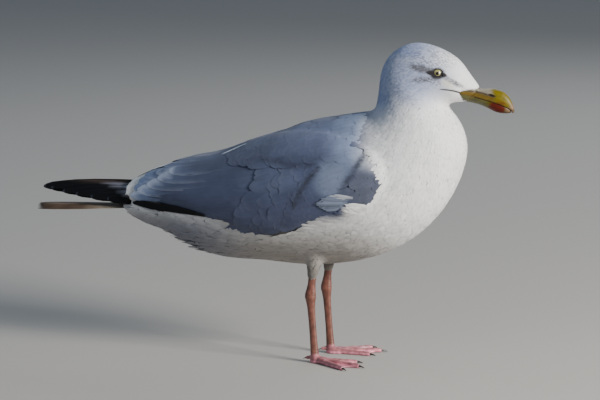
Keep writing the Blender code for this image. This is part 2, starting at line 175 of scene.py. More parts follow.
def tube(rings, name, closed=False):
    """A new object through rings of points, capped at both ends or closed on itself."""
    shape, count = bmesh.new(), len(rings[0])
    made = [[shape.verts.new(Vector(point) * MM) for point in ring] for ring in rings]
    for one, other in zip(made, made[1:] + made[:1] * closed):
        for i in range(count):
            j = (i + 1) % count
            shape.faces.new((one[i], one[j], other[j], other[i]))
    for ring in [] if closed else [made[0], made[-1]]:
        for k in range((count - 1) // 2):
            across = (ring[k], ring[k + 1], ring[count - 2 - k], ring[count - 1 - k])
            shape.faces.new(list(dict.fromkeys(across)))
    bmesh.ops.recalc_face_normals(shape, faces=shape.faces)
    return object_of(shape, name)


def alone(obj):
    """Makes this the one selected and active object."""
    bpy.ops.object.select_all(action="DESELECT")
    obj.select_set(True)
    bpy.context.view_layer.objects.active = obj


def joined(main, others):
    """Joins the other objects to the main one."""
    alone(main)
    for other in others:
        other.select_set(True)
    bpy.ops.object.join()
    return main


def remeshed(obj, voxel, smoothing, strength=0.5):
    """Remeshes the object in even squares of one size, and smooths them."""
    alone(obj)
    remesh = obj.modifiers.new("remesh", "REMESH")
    remesh.mode = "VOXEL"
    remesh.voxel_size = voxel
    bpy.ops.object.modifier_apply(modifier="remesh")
    smooth = obj.modifiers.new("smooth", "SMOOTH")
    smooth.factor = strength
    smooth.iterations = smoothing
    bpy.ops.object.modifier_apply(modifier="smooth")
    bpy.ops.object.shade_smooth()
    return obj


def points_of(mesh):
    """The mesh's points in millimetres."""
    found = np.empty(len(mesh.vertices) * 3, np.float32)
    mesh.vertices.foreach_get("co", found)
    return found.reshape(-1, 3).astype(np.float64) / MM


def normals_of(mesh):
    found = np.empty(len(mesh.vertices) * 3, np.float32)
    mesh.vertices.foreach_get("normal", found)
    return found.reshape(-1, 3).astype(np.float64)


def triangles_of(mesh):
    mesh.calc_loop_triangles()
    found = np.empty(len(mesh.loop_triangles) * 3, np.int32)
    mesh.loop_triangles.foreach_get("vertices", found)
    return found.reshape(-1, 3)


def surface_of(mesh):
    """A search tree of a surface, in millimetres."""
    return BVHTree.FromPolygons(points_of(mesh).tolist(), triangles_of(mesh).tolist())


WINGS, SHANKS = ["wing_right", "wing_left"], ["shank_right", "shank_left"]
FLESH = ["head", "neck", "trunk", "rump", "thigh_right", "thigh_left"]
SADDLE_FRONT_X, SADDLE_REAR_X, SADDLE_DEPTH = -6, -156, 30
FORM_VOXEL, FORM_SMOOTHING = 2.4 * MM, 5


def saddle():
    """A bridge between the ridges of the folded wings, where their innermost feathers meet."""
    tree, rings = surface_of(form.data), []
    for x in np.linspace(SADDLE_FRONT_X, SADDLE_REAR_X, 16):
        hits = [(tree.ray_cast(Vector((x, y, 400)), Vector((0, 0, -1)))[0], y) for y in range(0, 54, 2)]
        high, wide = max((hit.z, max(y, 8.0)) for hit, y in hits if hit)
        rings.append([(x, wide * k, high - 0.2 - 1.2 * k * k) for k in (-1, -0.5, 0, 0.5, 1)]
                     + [(x, wide, high - SADDLE_DEPTH), (x, -wide, high - SADDLE_DEPTH)])
    return tube(rings, "saddle")


form = remeshed(merged_copy(FLESH + WINGS, "form"), FORM_VOXEL, FORM_SMOOTHING)
bed = joined(merged_copy(FLESH + WINGS + SHANKS, "bed"), [saddle()])
bed = remeshed(bed, FORM_VOXEL, FORM_SMOOTHING)
bed_surface = surface_of(bed.data)
print("form:", len(form.data.vertices), "points")

# %% [markdown]
# ## How the coat lies
#
# Feathers grow in tracts, and all of them point away from the bill: back over the crown, down
# the neck, and back along breast and belly to the tail. Their size grows the same way, from
# 3 mm on the face to 30 mm under the tail. A few named places on the side of the bird hold the
# direction, size and depth of the coat there. Everywhere else it is a blend of the nearest
# places, so that it changes smoothly.

# %% How the coat lies
# place: (x, z, direction x, direction z, length, width, depth of the skin), in millimetres.
COAT_PLACES = {
    "bill root": (224, 303, -0.80, 0.60, 3.0, 1.3, 0.9),
    "forehead": (206, 327, -0.80, 0.60, 4.4, 1.7, 1.5),
    "crown": (160, 346, -1.0, 0.0, 5.8, 2.1, 2.0),
    "back of head": (128, 331, -0.7, -0.7, 7.2, 2.5, 2.4),
    "nape": (118, 305, -0.1, -1.0, 8.5, 3.0, 3.0),
    "hind neck": (117, 284, -0.3, -1.0, 10.5, 3.8, 3.4),
    "lore": (208, 303, -0.97, 0.25, 2.8, 1.2, 1.0),
    "cheek": (180, 304, -1.0, -0.15, 4.6, 1.8, 1.7),
    "eye": (185, 317, -1.0, 0.05, 2.8, 1.2, 1.0),
    "ear": (158, 312, -0.95, -0.3, 6.0, 2.2, 2.2),
    "chin": (205, 287, -1.0, -0.05, 3.2, 1.4, 1.2),
    "throat": (193, 277, -0.5, -0.85, 5.4, 2.1, 2.0),
    "side of neck": (158, 275, -0.5, -0.87, 9.0, 3.2, 3.0),
    "front of neck": (207, 255, 0.05, -1.0, 8.5, 3.1, 3.0),
    "top of breast": (212, 230, -0.1, -1.0, 10.5, 3.8, 3.6),
    "breast": (196, 186, -0.5, -0.87, 12.5, 4.6, 4.0),
    "side of breast": (155, 205, -0.75, -0.66, 12.5, 4.6, 4.0),
    "shoulder": (120, 250, -0.9, -0.45, 12.5, 5.0, 3.8),
    "back": (95, 271, -1.0, -0.12, 14.0, 8.0, 3.4),
    "mantle": (50, 262, -1.0, -0.2, 17.0, 10.0, 3.4),
    "lower breast": (150, 138, -0.9, -0.42, 14.0, 5.2, 4.4),
    "belly": (80, 107, -1.0, -0.08, 16.0, 5.6, 4.6),
    "low belly": (10, 106, -1.0, 0.03, 18.0, 6.2, 4.6),
    "flank": (60, 150, -1.0, -0.15, 20.0, 6.4, 4.4),
    "vent": (-50, 109, -1.0, 0.14, 22.0, 7.2, 4.8),
    "under tail": (-110, 133, -1.0, 0.3, 27.0, 9.0, 4.0),
    "tail coverts": (-150, 146, -1.0, 0.2, 30.0, 10.0, 2.6),
    "rump": (-60, 220, -1.0, -0.3, 20.0, 10.0, 3.4),
    "end of rump": (-140, 196, -1.0, -0.35, 26.0, 11.0, 3.0),
}
THIGH_COAT = np.array((-0.12, -1.0, 6.5, 2.7, 1.0))
coat_table = np.array(list(COAT_PLACES.values()))
leg_axes = {side: [(a + b) / 2 / MM for a, b in zip(*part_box(f"thigh_{word}"))] for side, word in SIDES}


def ramp(value, start, end):
    """0 before start, 1 after end, and smooth between."""
    t = np.clip((value - start) / (end - start), 0, 1)
    return t * t * (3 - 2 * t)


def on_thigh(points):
    """1 on the feathered thighs below the belly, falling to 0 where they meet it."""
    far = np.full(len(points), 99.0)
    for x, y, _ in leg_axes.values():
        far = np.minimum(far, np.hypot(points[:, 0] - x, points[:, 1] - y))
    return ramp(far, 15, 9) * ramp(points[:, 2], 108, 102)


def coat_at(points):
    """Direction x and z, length, width and depth of the coat at each point."""
    gap = np.linalg.norm(points[:, None, [0, 2]] - coat_table[None, :, :2], axis=2) + 2.0
    weight = gap**-3.0
    weight /= weight.sum(axis=1, keepdims=True)
    found = weight @ coat_table[:, 2:]
    return found + (THIGH_COAT - found) * on_thigh(points)[:, None]


print("coat places:", len(coat_table))

# %% [markdown]
# ## Markings
#
# A herring gull is white, with a blue-grey mantle and wings, black wing tips and, after summer,
# grey-brown streaks over the crown and round the eye. Light and shade are painted in as well:
# painted shade darkens the belly, the thighs and the plumage under the tail, a painted blue shade
# lies over the nape, the back of the crown and the cheek, and the grey is paler up on the mantle
# and darker down the side of the wing. One function gives the colour of any place on the bird.
# Skin and feathers both read it, so a gap between feathers never shows another colour. Streaks
# come feather by feather, by chance.

# %% Markings
WHITE = np.array((0.82, 0.82, 0.81))
# Painted shade: the white plumage under the body is darker and warmer, and bluer grey under the tail.
BELLY_SHADE = np.array((0.25, 0.225, 0.195))
UNDERTAIL_SHADE = np.array((0.15, 0.16, 0.205))
# Painted blue shade over the nape, the back of the crown and the cheek; on the cheek it also stands for the
# winter's dusky wash.
NAPE_SHADE_BLUE = np.array((0.145, 0.205, 0.40))
STREAK = np.array((0.11, 0.11, 0.13))
DARK_LINE = np.array((0.013, 0.011, 0.012))
# Painted light on the grey: paler up on the mantle, darker down the side of the wing, with painted blue
# shade along the ridge of the back.
MANTLE_LIT_GREY = np.array((0.118, 0.146, 0.240))
RIDGE_SHADE_BLUE = np.array((0.065, 0.092, 0.175))
WING_SHADED_GREY = np.array((0.046, 0.058, 0.112))
BEND_GREY = np.array((0.072, 0.082, 0.122))
FOLD_SHADE = np.array((0.018, 0.022, 0.040))
LORE_BUFF = np.array((0.66, 0.62, 0.47))
# Where the mouth's line runs on over the face: x, z.
GAPE_LINE = ((188, 196, 203, 212), (300.4, 299.8, 298.6, 295.6))
eye_centre = np.array([(a + b) / 2 / MM for a, b in zip(*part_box("eye_left"))])
EYE_X, EYE_Y, EYE_Z = eye_centre


def near(points, x, z, reach_x, reach_z, tilt=0.0):
    """1 at a place on the side of the bird, falling to 0 at an oval round it."""
    dx, dz = points[:, 0] - x, points[:, 2] - z
    c, s = math.cos(math.radians(tilt)), math.sin(math.radians(tilt))
    return 1 - ramp(((dx * c + dz * s) / reach_x) ** 2 + ((dz * c - dx * s) / reach_z) ** 2, 0, 1)


def blend(colours, other, amount):
    """The colours moved towards another one, by an amount from 0 to 1 at each point."""
    return colours + (other - colours) * np.clip(amount, 0, 1)[:, None]


def face_marks(colours, points, luck):
    """The streaks of the crown, the dusky patches round the eye and the line of the gape."""
    x, _, z = points.T
    streaks = near(points, EYE_X - 4, EYE_Z + 15, 34, 16) * (luck > 0.55) * 0.52
    streaks += near(points, EYE_X - 36, EYE_Z - 12, 36, 36) * (luck > 0.72) * 0.22
    colours = blend(colours, STREAK, streaks)
    dusk = near(points, EYE_X - 14, EYE_Z + 4.5, 20, 4.8, -10) * (0.70 + 0.80 * luck)
    dusk += near(points, EYE_X - 13, EYE_Z - 6.0, 17, 4.2, 4) * (0.35 + 0.75 * luck)
    dusk += near(points, EYE_X + 17, EYE_Z - 8.5, 17, 3.6, -31) * (0.40 + 0.75 * luck)
    dusk += near(points, EYE_X + 1, EYE_Z - 9.5, 10, 4.5, -8) * (luck > 0.45) * 0.55
    colours = blend(colours, STREAK, dusk)
    colours = blend(colours, LORE_BUFF, 0.5 * near(points, EYE_X + 12, EYE_Z - 11, 9, 5, -25))
    ring = near(points, EYE_X + 1.3, EYE_Z, 9.6, 7.9)
    ring += 0.8 * near(points, EYE_X + 8.2, EYE_Z - 1.4, 4.6, 2.6, -14)
    ring += 0.8 * near(points, EYE_X - 6.4, EYE_Z + 1.0, 5.0, 2.8, -8)
    colours = blend(colours, DARK_LINE, 1.4 * ring)
    gape = np.interp(x, *GAPE_LINE)
    line = np.exp(-(((z - gape) / 0.8) ** 2)) * ramp(x, 186, 194) * ramp(x, 222, 214)
    return blend(colours, DARK_LINE, 0.85 * line)


def plumage(points, luck=None):
    """The plumage's colour at each point. luck is a random number, the same over a feather."""
    x, y, z = points.T
    luck = np.full(len(points), 0.5) if luck is None else luck
    colours = np.tile(WHITE, (len(points), 1))
    # Painted shade: darker and warmer under the belly and on the thighs, bluer grey under the tail.
    under = ramp(z, 190, 116) * ramp(x, 195, 80)
    colours = blend(colours, BELLY_SHADE, 0.9 * under)
    colours = blend(colours, UNDERTAIL_SHADE, 0.85 * ramp(x, 20, -90) * ramp(z, 172, 140))
    colours = blend(colours, BELLY_SHADE * 0.6, on_thigh(points) * 0.85)
    # Painted blue shade over the nape, the back of the crown and the cheek, with the cheek's dusky wash.
    nape = ramp(x, 168, 122) * ramp(z, 250, 290)
    crown = ramp(z, 312, 338) * ramp(x, 212, 158)
    cheek = 0.85 * near(points, 154, 312, 60, 40)
    shade_wash = np.maximum(np.maximum(nape, crown * 0.95), cheek)
    colours = blend(colours, NAPE_SHADE_BLUE, 0.88 * shade_wash * (0.87 + 0.26 * luck))
    colours = face_marks(colours, points, luck)
    top = ramp(x + (z - 240) * 0.12, 134, 98) * ramp(z, 212, 228) + ramp(x, 98, 90) * ramp(z, 156, 170)
    grey = np.clip(top, 0, 1) * np.maximum(ramp(x, -116, -100), ramp(np.abs(y), 26, 38))
    # Painted light: the grey is paler up on the mantle and darker lower down, with painted blue shade along
    # the ridge.
    mantle = MANTLE_LIT_GREY + (WING_SHADED_GREY - MANTLE_LIT_GREY) * ramp(z, 268, 222)[:, None]
    mantle = blend(mantle, RIDGE_SHADE_BLUE, 0.7 * ramp(np.abs(y), 36, 14))
    colours = colours + (mantle - colours) * grey[:, None]
    return colours * (0.95 + 0.1 * luck)[:, None]


# %% [markdown]
# ## Finishes
#
# Every piece stores its colours on its own points, and each finish lays a fine grain over them.
# A feather has a shaft and slanted barbs on both sides of it, which one node group draws from
# the feather's own map. Soft plumage has no gloss, stiff feathers have a little, and horn and
# eyes are polished.


# %% Finishes
BUMP_HEIGHT = 0.2 * MM


def maths(nodes, links, operation, *values):
    """A math node's result. Each value is a number or another node's result."""
    node = nodes.new("ShaderNodeMath")
    node.operation = operation
    for slot, value in enumerate(values):
        if isinstance(value, (int, float)):
            node.inputs[slot].default_value = value
        else:
            links.new(value, node.inputs[slot])
    return node.outputs[0]


def finish(name, roughness, shades, grain, stretch=(1, 1, 1), coat=0.0, sheen=0.0, relief=0.0,
           specular=0.5):
    """A material of the stored colour under a grain, which also roughens the surface."""
    made = bpy.data.materials.new(name)
    made.use_nodes = True
    nodes, links = made.node_tree.nodes, made.node_tree.links
    shader = nodes["Principled BSDF"]
    for socket, value in (("Roughness", roughness), ("Coat Weight", coat), ("Coat Roughness", 0.08),
                          ("Sheen Weight", sheen), ("Sheen Roughness", 0.5),
                          ("Specular IOR Level", specular)):
        shader.inputs[socket].default_value = value
    place, turn = nodes.new("ShaderNodeTexCoord"), nodes.new("ShaderNodeMapping")
    turn.inputs["Scale"].default_value = stretch
    links.new(place.outputs["Object"], turn.inputs["Vector"])
    cloud = nodes.new("ShaderNodeTexNoise")
    cloud.inputs["Scale"].default_value = grain
    cloud.inputs["Detail"].default_value = 3.0
    links.new(turn.outputs[0], cloud.inputs["Vector"])
    shade = nodes.new("ShaderNodeMapRange")
    for socket, value in zip(("From Min", "From Max", "To Min", "To Max"), (0.3, 0.7) + shades):
        shade.inputs[socket].default_value = value
    links.new(cloud.outputs["Fac"], shade.inputs["Value"])
    stored, tinted = nodes.new("ShaderNodeAttribute"), nodes.new("ShaderNodeVectorMath")
    stored.attribute_name = "tint"
    tinted.operation = "SCALE"
    links.new(stored.outputs["Color"], tinted.inputs[0])
    links.new(shade.outputs["Result"], tinted.inputs["Scale"])
    links.new(tinted.outputs[0], shader.inputs["Base Color"])
    if relief:
        bump = nodes.new("ShaderNodeBump")
        bump.inputs["Strength"].default_value = relief
        bump.inputs["Distance"].default_value = BUMP_HEIGHT
        links.new(cloud.outputs["Fac"], bump.inputs["Height"])
        links.new(bump.outputs["Normal"], shader.inputs["Normal"])
    return made


barbs = bpy.data.node_groups.new("feather_barbs", "ShaderNodeTree")
barbs.interface.new_socket("Map", in_out="INPUT", socket_type="NodeSocketVector")
for title in ("Height", "Shaft"):
    barbs.interface.new_socket(title, in_out="OUTPUT", socket_type="NodeSocketFloat")
BARB_SPACING, SHAFT_HALF = 0.9, 0.3
b_nodes, b_links = barbs.nodes, barbs.links
b_in, b_out = b_nodes.new("NodeGroupInput"), b_nodes.new("NodeGroupOutput")
axes = b_nodes.new("ShaderNodeSeparateXYZ")
b_links.new(b_in.outputs["Map"], axes.inputs[0])
aside = maths(b_nodes, b_links, "ABSOLUTE", axes.outputs["Y"])
slanted = maths(b_nodes, b_links, "SUBTRACT", axes.outputs["X"], aside)
wave = maths(b_nodes, b_links, "SINE",
             maths(b_nodes, b_links, "MULTIPLY", slanted, 2 * math.pi / BARB_SPACING))
shaft = maths(b_nodes, b_links, "LESS_THAN", aside, SHAFT_HALF)
height = maths(b_nodes, b_links, "ADD", maths(b_nodes, b_links, "MULTIPLY", wave, 0.3), shaft)
b_links.new(height, b_out.inputs["Height"])
b_links.new(shaft, b_out.inputs["Shaft"])


def feathered(made, relief, shaft_shade):
    """Adds shaft and barbs from the feather's own map to a finish."""
    nodes, links = made.node_tree.nodes, made.node_tree.links
    shader = nodes["Principled BSDF"]
    own_map, vane, bump = (nodes.new("ShaderNode" + kind) for kind in ("UVMap", "Group", "Bump"))
    own_map.uv_map = "vane"
    vane.node_tree = barbs
    links.new(own_map.outputs["UV"], vane.inputs["Map"])
    keep = maths(nodes, links, "SUBTRACT", 1.0,
                 maths(nodes, links, "MULTIPLY", vane.outputs["Shaft"], shaft_shade))
    shafted = nodes.new("ShaderNodeVectorMath")
    shafted.operation = "SCALE"
    links.new(shader.inputs["Base Color"].links[0].from_socket, shafted.inputs[0])
    links.new(keep, shafted.inputs["Scale"])
    links.new(shafted.outputs[0], shader.inputs["Base Color"])
    bump.inputs["Strength"].default_value = relief
    bump.inputs["Distance"].default_value = BUMP_HEIGHT
    links.new(vane.outputs["Height"], bump.inputs["Height"])
    links.new(bump.outputs["Normal"], shader.inputs["Normal"])
    return made


soft_plumage = finish("soft_plumage", 0.88, (0.95, 1.05), 60.0, sheen=0.12)
wing_plumage = feathered(finish("wing_plumage", 0.6, (0.86, 1.14), 45.0, sheen=0.08), 0.3, 0.12)
flight_plumage = feathered(finish("flight_plumage", 0.55, (0.8, 1.2), 60.0, specular=0.15), 0.4, 0.3)
skin_finish = finish("skin_finish", 0.9, (0.95, 1.05), 60.0)
print("finishes:", [m.name for m in bpy.data.materials])

# %% [markdown]
# ## A vane
#
# Every feather is a thin closed blade with an arched top and a flat underside, narrow at the
# root, full in the middle and rounded at the tip. One function makes thousands of them at once
# from arrays, as they differ only in place, size and colour. Each blade's middle line is walked
# over the bed from its root, so that it bends with the body. Its root sits deeper than its
# tip, so that it slides under the feathers in front of it. The upper faces are shaded nearly as
# the body under them is, because the real vanes' soft barbs merge into one surface.

# %% A vane
# name: (how far along each station lies, how wide the blade is there, the top's columns)
SHAPES = {
    "plume": ((0.0, 0.15, 0.45, 0.78, 1.0), (0.4, 0.9, 1.0, 0.85, 0.3), (-1.0, 0.0, 1.0)),
    "covert": ((0.0, 0.12, 0.4, 0.68, 0.86, 0.96, 1.0), (0.4, 0.8, 1.0, 1.0, 0.84, 0.52, 0.25),
               (-1.0, -0.5, 0.0, 0.5, 1.0)),
    "long": ((0.0, 0.15, 0.35, 0.55, 0.72, 0.85, 0.93, 0.975, 1.0),
             (0.35, 0.6, 0.85, 1.0, 1.0, 0.88, 0.66, 0.42, 0.18), (-1.0, -0.5, 0.0, 0.5, 1.0)),
}
FREE_BEHIND_X = -158.0
PATCH = 0.003
UNWRAP_LINE = np.array([(-190, 160), (-60, 166), (30, 182), (100, 198), (152, 226), (163, 262),
                        (164, 300), (180, 312), (230, 294)], float)


def unit(vectors):
    """The vectors at length 1."""
    return vectors / (np.linalg.norm(vectors, axis=-1, keepdims=True) + 1e-9)


def walk(roots, aims, lengths, steps):
    """Each blade's middle line, walked over the bed: its points, and the normals there."""
    centres = np.zeros((len(roots), len(steps), 3))
    normals = np.zeros_like(centres)
    for i, (root, aim_at, length) in enumerate(zip(roots, aims, lengths)):
        place, normal, _, _ = bed_surface.find_nearest(Vector(root))
        going = Vector(aim_at)
        going = (going - normal * going.dot(normal)).normalized()
        before = 0.0
        for k, step in enumerate(steps):
            if step > before:
                place = place + going * (length * (step - before))
                if place.x > FREE_BEHIND_X:
                    place, found, _, _ = bed_surface.find_nearest(place)
                    normal = (normal * 0.35 + found * 0.65).normalized()
                    going = (going - normal * going.dot(normal)).normalized()
                before = step
            centres[i, k] = place
            normals[i, k] = normal
    return centres, normals


def draped(points, normals):
    """The points moved to the nearest place of the bed, with its normals there."""
    flat = points.reshape(-1, 3).copy()
    facing = np.broadcast_to(normals, points.shape).reshape(-1, 3).copy()
    for i in np.flatnonzero(flat[:, 0] > FREE_BEHIND_X):
        flat[i], facing[i], _, _ = bed_surface.find_nearest(Vector(flat[i]))
    return flat.reshape(points.shape), facing.reshape(points.shape)


def unwrapped(points):
    """Where a place lies on an unwrap of the body: along its middle line, and round it."""
    side = points[:, [0, 2]]
    best, along, across = np.full(len(points), 1e9), np.zeros(len(points)), np.zeros(len(points))
    travelled = 0.0
    for a, b in zip(UNWRAP_LINE, UNWRAP_LINE[1:]):
        step, length = b - a, np.linalg.norm(b - a)
        t = np.clip((side - a) @ step / length**2, 0, 1)
        off = side - (a + t[:, None] * step)
        far = np.linalg.norm(off, axis=1)
        nearer = far < best
        best[nearer], along[nearer] = far[nearer], (travelled + t * length)[nearer]
        across[nearer] = ((step[0] * off[:, 1] - step[1] * off[:, 0]) / length)[nearer]
        travelled += length
    return np.stack([along / travelled, np.arctan2(points[:, 1], across) / (2 * math.pi) + 0.5], 1)


class Vanes:
    """Blades of one shape along their middle lines, as arrays (blade, station, ring, xyz).

    Heights are over the surface. sink is how deep the root dives, slope how fast the whole
    blade falls towards its root, rise lifts all of it, and tips_up bends its tip. arch curves
    it across, thick is its thickness, and ragged moves its end points along it. roll and lean
    turn only its shading, and drape lays every point on the body, not only the middle line.
    """

    def __init__(self, shape, centres, normals, lengths, widths, sink=0.0, slope=0.0, rise=0.0,
                 arch=0.03, thick=0.2, ragged=0.0, roll=0.22, tips_up=0.0, lean=0.05, drape=False):
        steps, wide, across = (np.array(s) for s in SHAPES[shape])
        count = len(centres)
        sink, rise, slope, tips_up = (np.broadcast_to(v, count)[:, None]
                                      for v in (sink, rise, slope, tips_up))
        self.lengths, self.widths = np.array(lengths, float), np.array(widths, float)
        ahead = unit(np.gradient(centres, axis=1))
        sideways = unit(np.cross(normals, ahead))
        self.v = np.append(across, 0.0)
        left = 1 - steps
        height = rise - sink * left**8 - slope * self.lengths[:, None] * left
        height = height + tips_up * steps**3
        half = self.widths[:, None] / 2 * wide
        v, n, a, s = self.v[None, None, :, None], normals[:, :, None, :], ahead[:, :, None, :], sideways
        points = centres[:, :, None, :] + s[:, :, None, :] * half[:, :, None, None] * v
        if drape:
            points, n = draped(points, n)
        dip = arch * self.widths[:, None, None] * (wide[None, :, None] * self.v[None, None, :]) ** 2
        dip[:, :, -1] += thick
        points = points + n * (height[:, :, None] - dip)[..., None]
        if ragged:
            push = dice.uniform(-ragged, ragged * 0.4, (count, len(self.v))) * self.lengths[:, None]
            points = points + a * (push[:, None, :] * (steps**3)[None, :, None])[..., None]
        tilt = dice.normal(0, lean, (count, 1, 1, 3))
        self.points = points
        self.soft = unit(n + s[:, :, None, :] * v * roll + a * (steps**4)[None, :, None, None] * roll * 0.6
                         + tilt)
        self.u = np.broadcast_to(steps[None, :, None], points.shape[:3])
        self.v = np.broadcast_to(self.v, points.shape[:3])
        self.middle = centres[:, len(steps) // 2]
        self.luck = dice.random(count)
        self.spots = unwrapped(centres[:, 0])
        self.patch = PATCH
        self.colours = None

    def paint(self, colours):
        """Colours of the blades, or of all their points."""
        if colours.ndim == 2:
            colours = colours[:, None, None, :]
        self.colours = np.broadcast_to(colours, self.points.shape).copy()
        return self

    def paint_by(self, colour_of):
        """Gives every point the colour of its own place on the bird."""
        flat = self.points.reshape(-1, 3)
        every = colour_of(flat, np.repeat(self.luck, len(flat) // len(self.points)))
        return self.paint(every.reshape(self.points.shape))

    def mark(self, colour, amount):
        """Blends a colour over the points by this amount."""
        self.colours += (np.array(colour) - self.colours) * np.clip(amount, 0, 1)[..., None]
        return self


def mesh_of(name, groups, soft=True):
    """One mesh of the blades of some groups, all of one shape."""
    def all_of(field):
        return np.concatenate([getattr(g, field) for g in groups])

    points, lengths, widths = all_of("points"), all_of("lengths"), all_of("widths")
    count, stations, ring = points.shape[:3]
    size = stations * ring
    quads = [(k * ring + (r + 1) % ring, k * ring + r, (k + 1) * ring + r, (k + 1) * ring + (r + 1) % ring)
             for k in range(stations - 1) for r in range(ring)]
    tops = [r < ring - 2 for _ in range(stations - 1) for r in range(ring)] + [False, True]
    ends = [tuple(range(ring)), tuple(range(size - 1, size - ring - 1, -1))]
    own = np.array([i for face in quads + ends for i in face])
    loops = ((np.arange(count) * size)[:, None] + own).ravel()
    totals = np.tile([4] * len(quads) + [ring] * 2, count)
    mesh = bpy.data.meshes.new(name)
    mesh.vertices.add(count * size)
    mesh.vertices.foreach_set("co", (points * MM).astype(np.float32).ravel())
    mesh.loops.add(len(loops))
    mesh.loops.foreach_set("vertex_index", loops.astype(np.int32))
    mesh.polygons.add(len(totals))
    starts = np.concatenate([[0], np.cumsum(totals)[:-1]])
    mesh.polygons.foreach_set("loop_start", starts.astype(np.int32))
    mesh.update(calc_edges=True)
    mesh.polygons.foreach_set("use_smooth", np.tile(tops, count))
    u, v = all_of("u").reshape(-1), all_of("v").reshape(-1)
    vane = np.stack([u * np.repeat(lengths, size), v * np.repeat(widths, size) / 2], axis=1)
    patch = np.concatenate([np.full(len(g.points), g.patch) for g in groups])
    bake = np.repeat(all_of("spots"), size, axis=0)
    bake = bake + np.repeat(patch, size)[:, None] * np.stack([u - 0.5, v / 2], axis=1)
    for title, values in (("OFBake", bake), ("vane", vane)):
        mesh.uv_layers.new(name=title).uv.foreach_set("vector", values[loops].astype(np.float32).ravel())
    if soft:
        shading = all_of("soft").reshape(-1, 3)[loops]
        shading[~np.repeat(np.tile(tops, count), totals)] = 0
        mesh.normals_split_custom_set(shading.tolist())
    store_tint(mesh, all_of("colours").reshape(-1, 3))
    return mesh


def store_tint(mesh, colours):
    """Stores a colour on each of the mesh's points, for the finishes to read."""
    full = np.ones((len(mesh.vertices), 4), np.float32)
    full[:, :3] = np.clip(colours, 0, 1)
    mesh.attributes.new("tint", "FLOAT_COLOR", "POINT").data.foreach_set("color", full.ravel())


def show(made, material, slot, *replaced):
    """Gives a finished piece its material and its place on the body. slot is not used."""
    made.data.materials.append(material)
    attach(made, "root")
    if replaced:
        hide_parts(*replaced)
    print(f"{made.name}: {len(triangles_of(made.data))} triangles")


def show_vanes(name, groups, material, slot, *replaced, soft=True):
    """One finished piece of some groups of blades. soft merges their shading."""
    show(new_object(name, mesh_of(name, groups, soft)), material, slot, *replaced)


# %% [markdown]
# ## Where the body feathers root
#
# Roots are spread evenly but not in rows. Candidates fall on the bed by chance, more of them
# where feathers are small, and one is kept if no kept root lies too near it. The wings are left
# free, as their feathers lie in rows of their own. So are the eyes, the face where the bill and
# its edge of horn stand, and the strip where the folded primaries show below the wing.

# %% Where the body feathers root
SPACING = 0.34
CANDIDATES = 240000
LAST_ROOT_X, THIGH_CUT_Z = -150.0, 93.6
REACH_STEPS = (0.0, 1.0, 1.6, 2.4, 3.4, 99.0)
EYE_CLEAR, TIPS_CLEAR, EYE_AHEAD = 6.0, 5.5, 1.3
# A root keeps this far from the wing, and less before FRONT_X, where the breast wraps its front.
WING_CLEAR, FRONT_CLEAR, FRONT_X, PRIMARIES_CLEAR = 1.6, 0.4, 104, 2.6
# The flat face behind the bill, and the strip of face under the bill's edge of horn.
BILL_Z, BILL_HALF, BILL_FRONT_X = 291, 9, 208
HORN_LOW, HORN_HIGH, HORN_X = 287, 299.5, 210.5
# The lower edge of the folded wing, and of the sliver of primary behind it: x and z from the
# front. It counts away from the middle plane and below the top of the flank.
BACK_HALF, BACK_Z = 14, 215
WING_EDGE = ((113, 102, 81, 60, 45, 31, 13, -12, -26, -43, -60, -76, -95, -118, -134, -150, -168),
             (176, 170, 168, 163, 156, 147, 139, 144, 149, 156, 160.5, 161.5, 162, 162.5, 163.5, 164, 161))

wing_copy = merged_copy(WINGS, "wing_copy")
primaries_copy = merged_copy(["primaries_right", "primaries_left"], "primaries_copy")
wing_surface = surface_of(wing_copy.data)
primaries_surface = surface_of(primaries_copy.data)


def scattered(count):
    """Points spread over the bed, closer where the coat is finer."""
    three = points_of(bed.data)[triangles_of(bed.data)]
    area = np.linalg.norm(np.cross(three[:, 1] - three[:, 0], three[:, 2] - three[:, 0]), axis=1)
    coat = coat_at(three.mean(axis=1))
    chance = area / (coat[:, 2] * coat[:, 3])
    chosen = three[dice.choice(len(area), count, p=chance / chance.sum())]
    a, b = dice.random((2, count, 1))
    over = a + b > 1
    a, b = np.where(over, 1 - a, a), np.where(over, 1 - b, b)
    return chosen[:, 0] + a * (chosen[:, 1] - chosen[:, 0]) + b * (chosen[:, 2] - chosen[:, 0])


def spread(points, reach):
    """Which points keep their own reach from every one kept before them."""
    kept, cells = [], {}
    around = [(a, b, c) for a in (0, -1, 1) for b in (0, -1, 1) for c in (0, -1, 1)]
    grid = np.floor(points / reach.max()).astype(int).tolist()
    for i, ((cx, cy, cz), (x, y, z), own) in enumerate(zip(grid, points.tolist(), reach.tolist())):
        own *= own
        if all((px - x) ** 2 + (py - y) ** 2 + (pz - z) ** 2 >= own
               for a, b, c in around for px, py, pz in cells.get((cx + a, cy + b, cz + c), ())):
            kept.append(i)
            cells.setdefault((cx, cy, cz), []).append((x, y, z))
    return kept


def over_wing(points):
    """Which points lie above the wing's lower edge, on the bird's side."""
    x, y, z = points.T
    edge = np.interp(-x, -np.array(WING_EDGE[0]), WING_EDGE[1])
    return (x < WING_EDGE[0][0]) & (np.abs(y) > BACK_HALF) & (z > edge) & (z < BACK_Z)


def within(surface, points, far):
    """Which points lie this near to a surface."""
    return np.array([surface.find_nearest(Vector(p), far)[0] is not None for p in points], bool)


